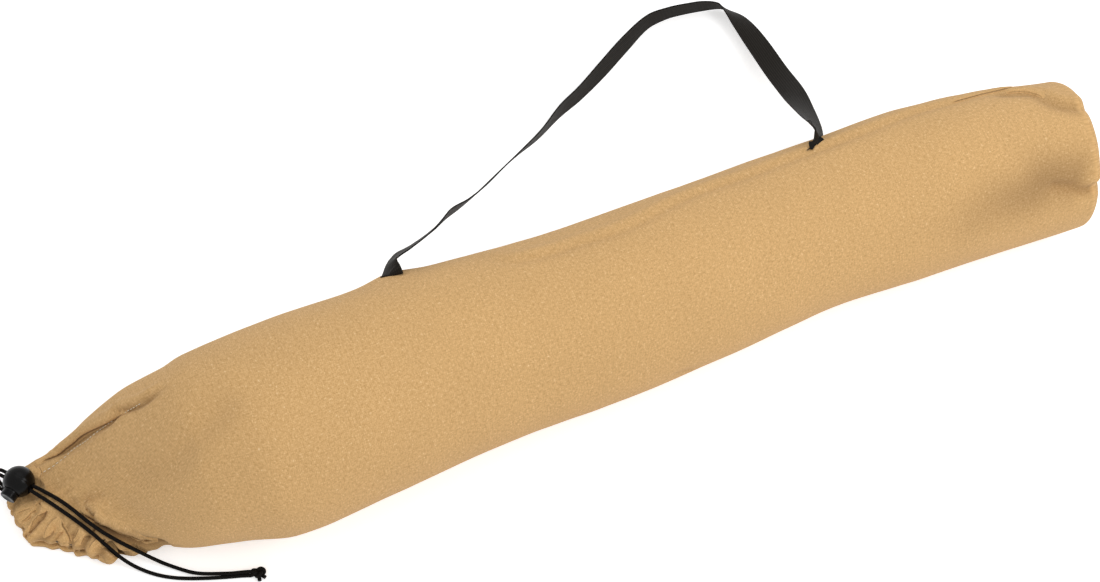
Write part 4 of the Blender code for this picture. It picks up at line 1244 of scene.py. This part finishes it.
def strapRoute(left, right, outWay, surface):
    # The webbing's middle line from seam to seam: points with their rolls in degrees
    low = strap["width"] / 2.0 + seamGap
    limb = []
    for share, out, rise, roll in strap["keys"]:
        base = left.lerp(right, share)
        point = base + outWay * out
        point.z = low + rise * (base.z - low)
        limb.append((point, roll))
    rolls = strap["sewnRoll"]
    first = sewnEnd(left, strap["leftTurn"], surface, limb[0][0], (rolls[0], limb[0][1]))
    last = sewnEnd(right, strap["rightTurn"], surface, limb[-1][0], (rolls[1], limb[-1][1]))
    return first + limb + last[::-1]


def webbingOutline():
    # Its section with woven ribs, in half widths and half thicknesses
    outline = [(-1.0, -0.55), (-0.96, -1.0)]
    outline += [(-0.9 + 0.2 * k, -1.0 + 0.12 * (k % 2)) for k in range(10)]
    outline += [(0.96, -1.0), (1.0, -0.55)]
    return outline + [(-x, -y) for x, y in outline]


def makeStrap(finish, surface):
    left = hingeEnd(strap["leftX"], strap["leftTurn"])
    right = hingeEnd(strap["rightX"], strap["rightTurn"])
    outWay = up.cross(right - left).normalized()
    route = strapRoute(left, right, outWay, surface)
    travel = travelOf([point for point, _ in route])
    keys = [(place, *point, radians(roll)) for place, (point, roll) in zip(travel, route)]
    places = [a[0] + (b[0] - a[0]) * k / strap["steps"]
              for a, b in zip(keys, keys[1:]) for k in range(strap["steps"])]
    places.append(keys[-1][0])
    rows = [smoothThrough(keys, place) for place in places]
    centres = [Vector(row[:3]) for row in rows]
    half, thick = strap["width"] / 2.0, strap["thickness"] / 2.0
    outline, rings, travel = webbingOutline(), [], travelOf(centres)
    for i, row in enumerate(rows):
        along = wayAt(centres, i).normalized()
        level = along.cross(up).normalized()
        wide = level * cos(row[3]) + level.cross(along) * sin(row[3])
        normal = along.cross(wide)
        kept = smoothThrough(strap["tuckedBack"], keys[-1][0] - places[i])[0]
        rings.append([centres[i] + wide * (x * half * (kept if x > 0.0 else 1.0)) + normal * (y * thick)
                      for x, y in outline])

    def uvOf(ring, k):
        x = outline[int(k) % len(outline)][0]
        return (x * half + half, travel[ring])

    piece = loft("webbingStrap", rings, uvOf, smoothAngle=60.0)
    piece.data.materials.append(finish)
    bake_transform(piece)
    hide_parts("shoulder_strap", "strap_tab_left", "strap_tab_right")
    print("strap length along its middle: %.0f mm" % (travel[-1] * 1000.0))


def spun(name, profile, steps=72):
    # Turns a profile of (along, radius) about X
    bm = bmesh.new()
    verts = [bm.verts.new((x, r, 0.0)) for x, r in profile]
    edges = [bm.edges.new(pair) for pair in zip(verts, verts[1:])]
    bmesh.ops.spin(bm, geom=verts + edges, cent=(0, 0, 0), axis=(1, 0, 0), angle=tau, steps=steps,
                   use_merge=True)
    bmesh.ops.remove_doubles(bm, verts=bm.verts, dist=1e-6)
    bmesh.ops.recalc_face_normals(bm, faces=bm.faces)
    return finishMesh(name, bm, 38.0)


def cutSlot(item, low, high):
    # Oval way through for the two cords, along Y
    bm = bmesh.new()
    half = lock["slotHeight"]
    verts = []
    for centreX, base in ((high - half, -pi / 2.0), (low + half, pi / 2.0)):
        for k in range(13):
            angle = base + pi * k / 12.0
            verts.append(bm.verts.new((centreX + half * cos(angle), -lock["ball"], half * sin(angle))))
    face = bm.faces.new(verts)
    swept = bmesh.ops.extrude_face_region(bm, geom=[face])["geom"]
    moved = [g for g in swept if isinstance(g, bmesh.types.BMVert)]
    bmesh.ops.translate(bm, verts=moved, vec=(0.0, 2.0 * lock["ball"], 0.0))
    bmesh.ops.recalc_face_normals(bm, faces=bm.faces)
    guide = finishMesh("slotGuide", bm)
    step = item.modifiers.new("slot", "BOOLEAN")
    step.operation = "DIFFERENCE"
    step.solver = "EXACT"
    step.object = guide
    applyModifiers(item)
    bpy.data.objects.remove(guide, do_unlink=True)


def intoLock(item):
    # Puts the lock's own axes, plunger along X and cords along Y, into the lock's place
    centre, _, press = lockPlace
    other = up.cross(press)
    for vert in item.data.vertices:
        x, y, z = vert.co
        vert.co = centre + press * x + other * y + up * z
    item.data.update()


def makeLock(finish):
    ball = lock["ball"] / 2.0
    bore = lock["plunger"] / 2.0 + lock["fit"]
    face = sqrt(ball**2 - (bore + lock["rim"]) ** 2)
    floorX = -lock["slotHalf"] - lock["endWall"] - lock["travel"] - seamGap
    parting, grip, steps = lock["parting"], lock["grip"], lock["steps"]
    profile = [(-ball, 0.0)]
    for k in range(1, steps):
        angle = pi * k / steps
        x = -ball * cos(angle)
        groove = parting["depth"] * bell(x - parting["at"], parting["width"])
        if x < face - lock["bevel"]:
            profile.append((x, ball * sin(angle) - groove))
    profile += [(face - 0.0001, bore + lock["rim"]), (face + 0.0002, bore + 0.0005), (face, bore)]
    profile += [(floorX, bore), (floorX, 0.0)]
    barrel = spun("lockBall", profile)
    cutSlot(barrel, -lock["slotHalf"], lock["slotHalf"])

    start, end = -lock["slotHalf"] - lock["endWall"], face + lock["proud"]
    radius = lock["plunger"] / 2.0
    shape = [(start, 0.0), (start, radius - lock["bevel"]), (start + lock["bevel"], radius)]
    for k in range(grip["rings"]):
        at = end - grip["back"] + grip["pitch"] * k
        shape += [(at + along, radius - grip["depth"] * share) for along, share in grip["groove"]]
    shape += [(end - back, radius - inwards) for back, inwards in lock["buttonFace"]]
    button = spun("lockButton", shape)
    cutSlot(button, -lock["slotHalf"], lock["slotHalf"] + lock["travel"])
    for item, body, node, slot in ((barrel, "lock", "lock_barrel", "lock_plastic"),
                                   (button, "plunger", "lock_plunger", "plunger_plastic")):
        intoLock(item)
        dress(item, finish, slot, node, body=body)


def squashSpring():
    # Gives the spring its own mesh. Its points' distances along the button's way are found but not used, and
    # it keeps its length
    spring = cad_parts["lock_spring"]
    centre, _, press = lockPlace
    along = [(spring.matrix_world @ vert.co - centre).dot(press) for vert in spring.data.vertices]
    tuple(press)
    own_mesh(spring)


# The crease colour is the deep brown that the cloth's painted shade darkens towards
canvasLook = {"base": "#E5BB83", "shade": "#C39A63", "fleck": "#F0D5A8", "paintedCreaseShade": "#43220D",
              "thread": 0.0007, "grain": 0.0013}  # the real threads lie about 0.6 mm apart


def clothPlace(tree):
    return addNode(tree, "ShaderNodeUVMap", {"uv_map": "clothUV"}).outputs["UV"]


def join(tree, operation, first, second):
    return addNode(tree, "ShaderNodeMath", {"operation": operation}, {0: first, 1: second}).outputs[0]


def ranged(tree, value, low, high, start=0.0, end=1.0):
    # Carries a value from start..end to low..high
    ends = {"From Min": start, "From Max": end, "To Min": low, "To Max": high}
    return addNode(tree, "ShaderNodeMapRange", ends, {"Value": value}).outputs["Result"]


def between(tree, share, low, high):
    # A colour from low to high, each a hex colour or a socket
    mix = addNode(tree, "ShaderNodeMix", {"data_type": "RGBA"}, {0: share})
    for k, colour in ((6, low), (7, high)):
        if isinstance(colour, str):
            mix.inputs[k].default_value = hexColour(colour)
        else:
            tree.links.new(colour, mix.inputs[k])
    return mix.outputs[2]


def wave(tree, place, direction, pitch, more=None):
    # Bands a pitch apart, in metres: a wave texture of scale 1 repeats every 0.314
    settings = {"bands_direction": direction, "Scale": 0.314 / pitch, **(more or {})}
    return addNode(tree, "ShaderNodeTexWave", settings, {"Vector": place}).outputs["Fac"]


def finishShader(tree, shader, colour, height, depth, strength, values):
    tree.links.new(colour, shader.inputs["Base Color"])
    bump = addNode(tree, "ShaderNodeBump", {"Strength": strength, "Distance": depth}, {"Height": height})
    tree.links.new(bump.outputs["Normal"], shader.inputs["Normal"])
    for key, value in values.items():
        shader.inputs[key].default_value = value


def makeCanvas(name, base, shade, fleck):
    # Plain woven cotton: matt, with a fine granular mottle and a few pale slubs. Shade painted on the mesh in
    # folds, gathers and under turned edges darkens it towards a deep brown
    made, tree, shader = newMaterial(name)
    thread, grain = canvasLook["thread"], canvasLook["grain"]
    place = clothPlace(tree)
    loose = {"Distortion": 1.6, "Detail": 1.0, "Detail Scale": 1.5}
    warp, weft = [wave(tree, place, way, 2.0 * thread, loose) for way in "XY"]
    squares = {"Scale": 1.0 / thread, "Color1": (1, 1, 1, 1), "Color2": (0, 0, 0, 1)}
    checks = addNode(tree, "ShaderNodeTexChecker", squares, {"Vector": place})
    weave = addNode(tree, "ShaderNodeMix", {"data_type": "FLOAT"},
                    {0: checks.outputs["Fac"], 2: warp, 3: weft}).outputs[0]
    slubs = []
    for stretch in ((1.0 / grain, 0.38 / grain, 300.0), (0.38 / grain, 1.0 / grain, 300.0)):
        spread = addNode(tree, "ShaderNodeMapping", {"Scale": stretch}, {"Vector": place})
        slubs.append(addNode(tree, "ShaderNodeTexNoise", {"Scale": 1.0, "Detail": 2.0, "Roughness": 0.6},
                             {"Vector": spread.outputs["Vector"]}).outputs["Fac"])
    slub = join(tree, "ADD", *slubs)
    ground = between(tree, ranged(tree, slub, 0.0, 1.0, 0.70, 1.30), shade, base)
    flecked = between(tree, ranged(tree, slub, 0.0, 0.7, 1.20, 1.38), ground, fleck)
    solid = addNode(tree, "ShaderNodeTexCoord").outputs["Object"]
    broad = addNode(tree, "ShaderNodeTexNoise", {"Scale": 26.0, "Detail": 3.0}, {"Vector": solid})
    tone = ranged(tree, broad.outputs["Fac"], 0.95, 1.05)
    level = join(tree, "MULTIPLY", tone, ranged(tree, weave, 0.93, 1.05))
    woven = addNode(tree, "ShaderNodeVectorMath", {"operation": "SCALE"},
                    {0: flecked, "Scale": level}).outputs[0]
    # Painted shade: the cloth darkens towards the crease colour wherever the mesh says it lies in shade
    paintedCreaseShade = addNode(tree, "ShaderNodeAttribute", {"attribute_name": "paintedShade"}).outputs["Fac"]
    finishShader(tree, shader, between(tree, paintedCreaseShade, woven, canvasLook["paintedCreaseShade"]), weave, 0.00018, 0.5,
                 {"Roughness": 0.92, "Specular IOR Level": 0.15, "Sheen Weight": 0.08})
    return made


def makeWebbing():
    # Polypropylene webbing, woven in narrow ribs: black, with a soft grey sheen painted on the ribs' tops
    made, tree, shader = newMaterial("wovenPolypropyleneWebbing")
    place = clothPlace(tree)
    ribs, picks = wave(tree, place, "X", 0.0020), wave(tree, place, "Y", 0.0014, {"Distortion": 0.6})
    height = join(tree, "MULTIPLY", ribs, picks)
    finishShader(tree, shader, between(tree, height, "#0F0C08", "#2A241D"), height, 0.0003, 0.5,
                 {"Roughness": 0.6, "Specular IOR Level": 0.12})
    return made


def makeBraid():
    # Braided polyester cord, 3 mm: black, two sets of strands crossing at an angle
    made, tree, shader = newMaterial("braidedPolyesterCord")
    place = clothPlace(tree)
    strands = []
    for turn in (0.9, -0.9):
        spread = addNode(tree, "ShaderNodeMapping", {"Rotation": (0.0, 0.0, turn)}, {"Vector": place})
        strands.append(wave(tree, spread.outputs["Vector"], "X", 0.0022))
    height = join(tree, "MAXIMUM", *strands)
    finishShader(tree, shader, between(tree, height, "#040403", "#14110F"), height, 0.0003, 0.5,
                 {"Roughness": 0.7, "Specular IOR Level": 0.08})
    return made


def makeSimple(name, low, high, scale, roughness, metallic=0.0, stretch=(1.0, 1.0, 1.0), gloss=0.5):
    # A finish with one noise for colour, gloss and relief, on Object coordinates
    made, tree, shader = newMaterial(name)
    place = addNode(tree, "ShaderNodeTexCoord").outputs["Object"]
    spread = addNode(tree, "ShaderNodeMapping", {"Scale": stretch}, {"Vector": place})
    grain = addNode(tree, "ShaderNodeTexNoise", {"Scale": scale, "Detail": 4.0},
                    {"Vector": spread.outputs["Vector"]}).outputs["Fac"]
    tree.links.new(ranged(tree, grain, roughness - 0.06, roughness + 0.06), shader.inputs["Roughness"])
    finishShader(tree, shader, between(tree, grain, low, high), grain, 0.0001, 0.3,
                 {"Metallic": metallic, "Specular IOR Level": gloss})
    return made


def paint(node, finish):
    # Gives a CAD node that keeps its shape a better finish
    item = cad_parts[node]
    item.data.materials.clear()
    item.data.materials.append(finish)


light = {
    "world": 0.725,
    "floor": "#F4F4F4",
    "floorGlow": 0.5,
    "floorDrop": 0.0002,  # how far the white floor lies under the object
    # Name, place, size and power
    "lamps": (("keyLight", (0.75, -0.95, 1.45), 0.8, 10.0), ("fillLight", (0.1, 0.7, 1.9), 1.6, 4.5)),
}


def seenRays(tree):
    # 1 for the rays that the camera, gloss and glass see
    ray = addNode(tree, "ShaderNodeLightPath").outputs
    pair = join(tree, "MAXIMUM", ray["Is Camera Ray"], ray["Is Glossy Ray"])
    return join(tree, "MAXIMUM", pair, ray["Is Transmission Ray"])


def makeStudio():
    world = bpy.data.worlds.new("studio")
    bpy.context.scene.world = world
    world.use_nodes = True
    tree = world.node_tree
    ground = tree.nodes["Background"]
    ground.inputs["Color"].default_value = (1, 1, 1, 1)
    tree.links.new(ranged(tree, seenRays(tree), light["world"], 1.0), ground.inputs["Strength"])

    for name, place, size, power in light["lamps"]:
        data = bpy.data.lights.new(name, "AREA")
        data.size = size
        data.energy = power
        lamp = bpy.data.objects.new(name, data)
        lamp.location = place
        lamp.rotation_euler = (-Vector(place)).to_track_quat("-Z", "Y").to_euler()
        bpy.context.scene.collection.objects.link(lamp)

    bm = bmesh.new()
    bmesh.ops.create_grid(bm, x_segments=1, y_segments=1, size=6.0)
    floorPiece = finishMesh("studioFloor", bm)
    for vert in floorPiece.data.vertices:
        vert.co.z = -light["floorDrop"]
    made, tree, shader = newMaterial("paleSweep")
    shader.inputs["Base Color"].default_value = hexColour(light["floor"])
    shader.inputs["Roughness"].default_value = 0.9
    shader.inputs["Specular IOR Level"].default_value = 0.0
    glow = addNode(tree, "ShaderNodeEmission", {"Color": (1, 1, 1, 1)})
    share = addNode(tree, "ShaderNodeMath", {"operation": "MULTIPLY", 1: light["floorGlow"]},
                    {0: seenRays(tree)})
    tree.links.new(share.outputs[0], glow.inputs["Strength"])
    both = addNode(tree, "ShaderNodeAddShader", {}, {0: shader.outputs[0], 1: glow.outputs[0]})
    tree.links.new(both.outputs[0], tree.nodes["Material Output"].inputs["Surface"])
    floorPiece.data.materials.append(made)


bpy.context.scene.view_settings.view_transform = "Standard"
makeCamera()
braid = makeBraid()
tails = makeCords(braid)
knotPieces = makeKnot(braid)
for index, (piece, path) in enumerate(tails):
    travelOf(path)[-1]
    [tuple(p) for p in evenPoints(path, cord["fine"])]
print("cords and knot made: %s mm" % ", ".join("%.0f" % (travelOf(p)[-1] * 1000.0) for _, p in tails))

canvas = makeCanvas("dyedCottonDuck", canvasLook["base"], canvasLook["shade"], canvasLook["fleck"])
cordLine = [p for _, path in tails for p in evenPoints(path, 0.002) if p.x > -0.535]
cloth, surface = makeBagCloth(canvas, cordLine)
makeBasePanel(canvas)
hemPiece = makeHem(canvas, cordLine)
wholeCloth = surfaceOf([cloth.data, hemPiece.data])
for name, lip in lips.items():
    makeLip(name, lip, wholeCloth, canvas)
print("bag cloth, base panel, hem and pressed folds made")

sewingThread = makeSimple("paleSewingThread", "#D9C8A6", "#F3EAD4", 3000.0, 0.7)
stitchPath = [throughPixel(x, y, wholeCloth) for x, y in stitchLine]
makeStitches("neckStitches", stitchPath, wholeCloth, sewingThread)
makeStrap(makeWebbing(), surface)
makeLock(makeSimple("mouldedNylonGloss", "#040303", "#0A0908", 900.0, 0.26, gloss=0.13))
print("stitches, strap and lock made")

makeRolledCover(makeCanvas("plainCottonCloth", "#E3D8C2", "#CFC2A8", "#F0E8D8"), surface)
pine = makeSimple("sandedPine", "#B98A55", "#E0B884", 60.0, 0.55, stretch=(0.06, 1.0, 1.0))
zinc = makeSimple("zincPlatedTube", "#9DA1A6", "#C5C9CC", 240.0, 0.32, metallic=1.0)
rubber = makeSimple("mouldedRubberCap", "#1A1A1A", "#2A2A2A", 800.0, 0.75)
paint("drawcord", makeSimple("braidedPolyesterCordHidden", "#0A0908", "#221F1C", 1500.0, 0.6))
paint("lock_spring", zinc)
squashSpring()
for number in range(1, 5):
    paint("lower_pole_%d" % number, pine)
    paint("upper_pole_%d" % number, pine)
    paint("ferrule_%d" % number, zinc)
    paint("rubber_foot_%d" % number, rubber)
makeStudio()
print("finishes and studio made")
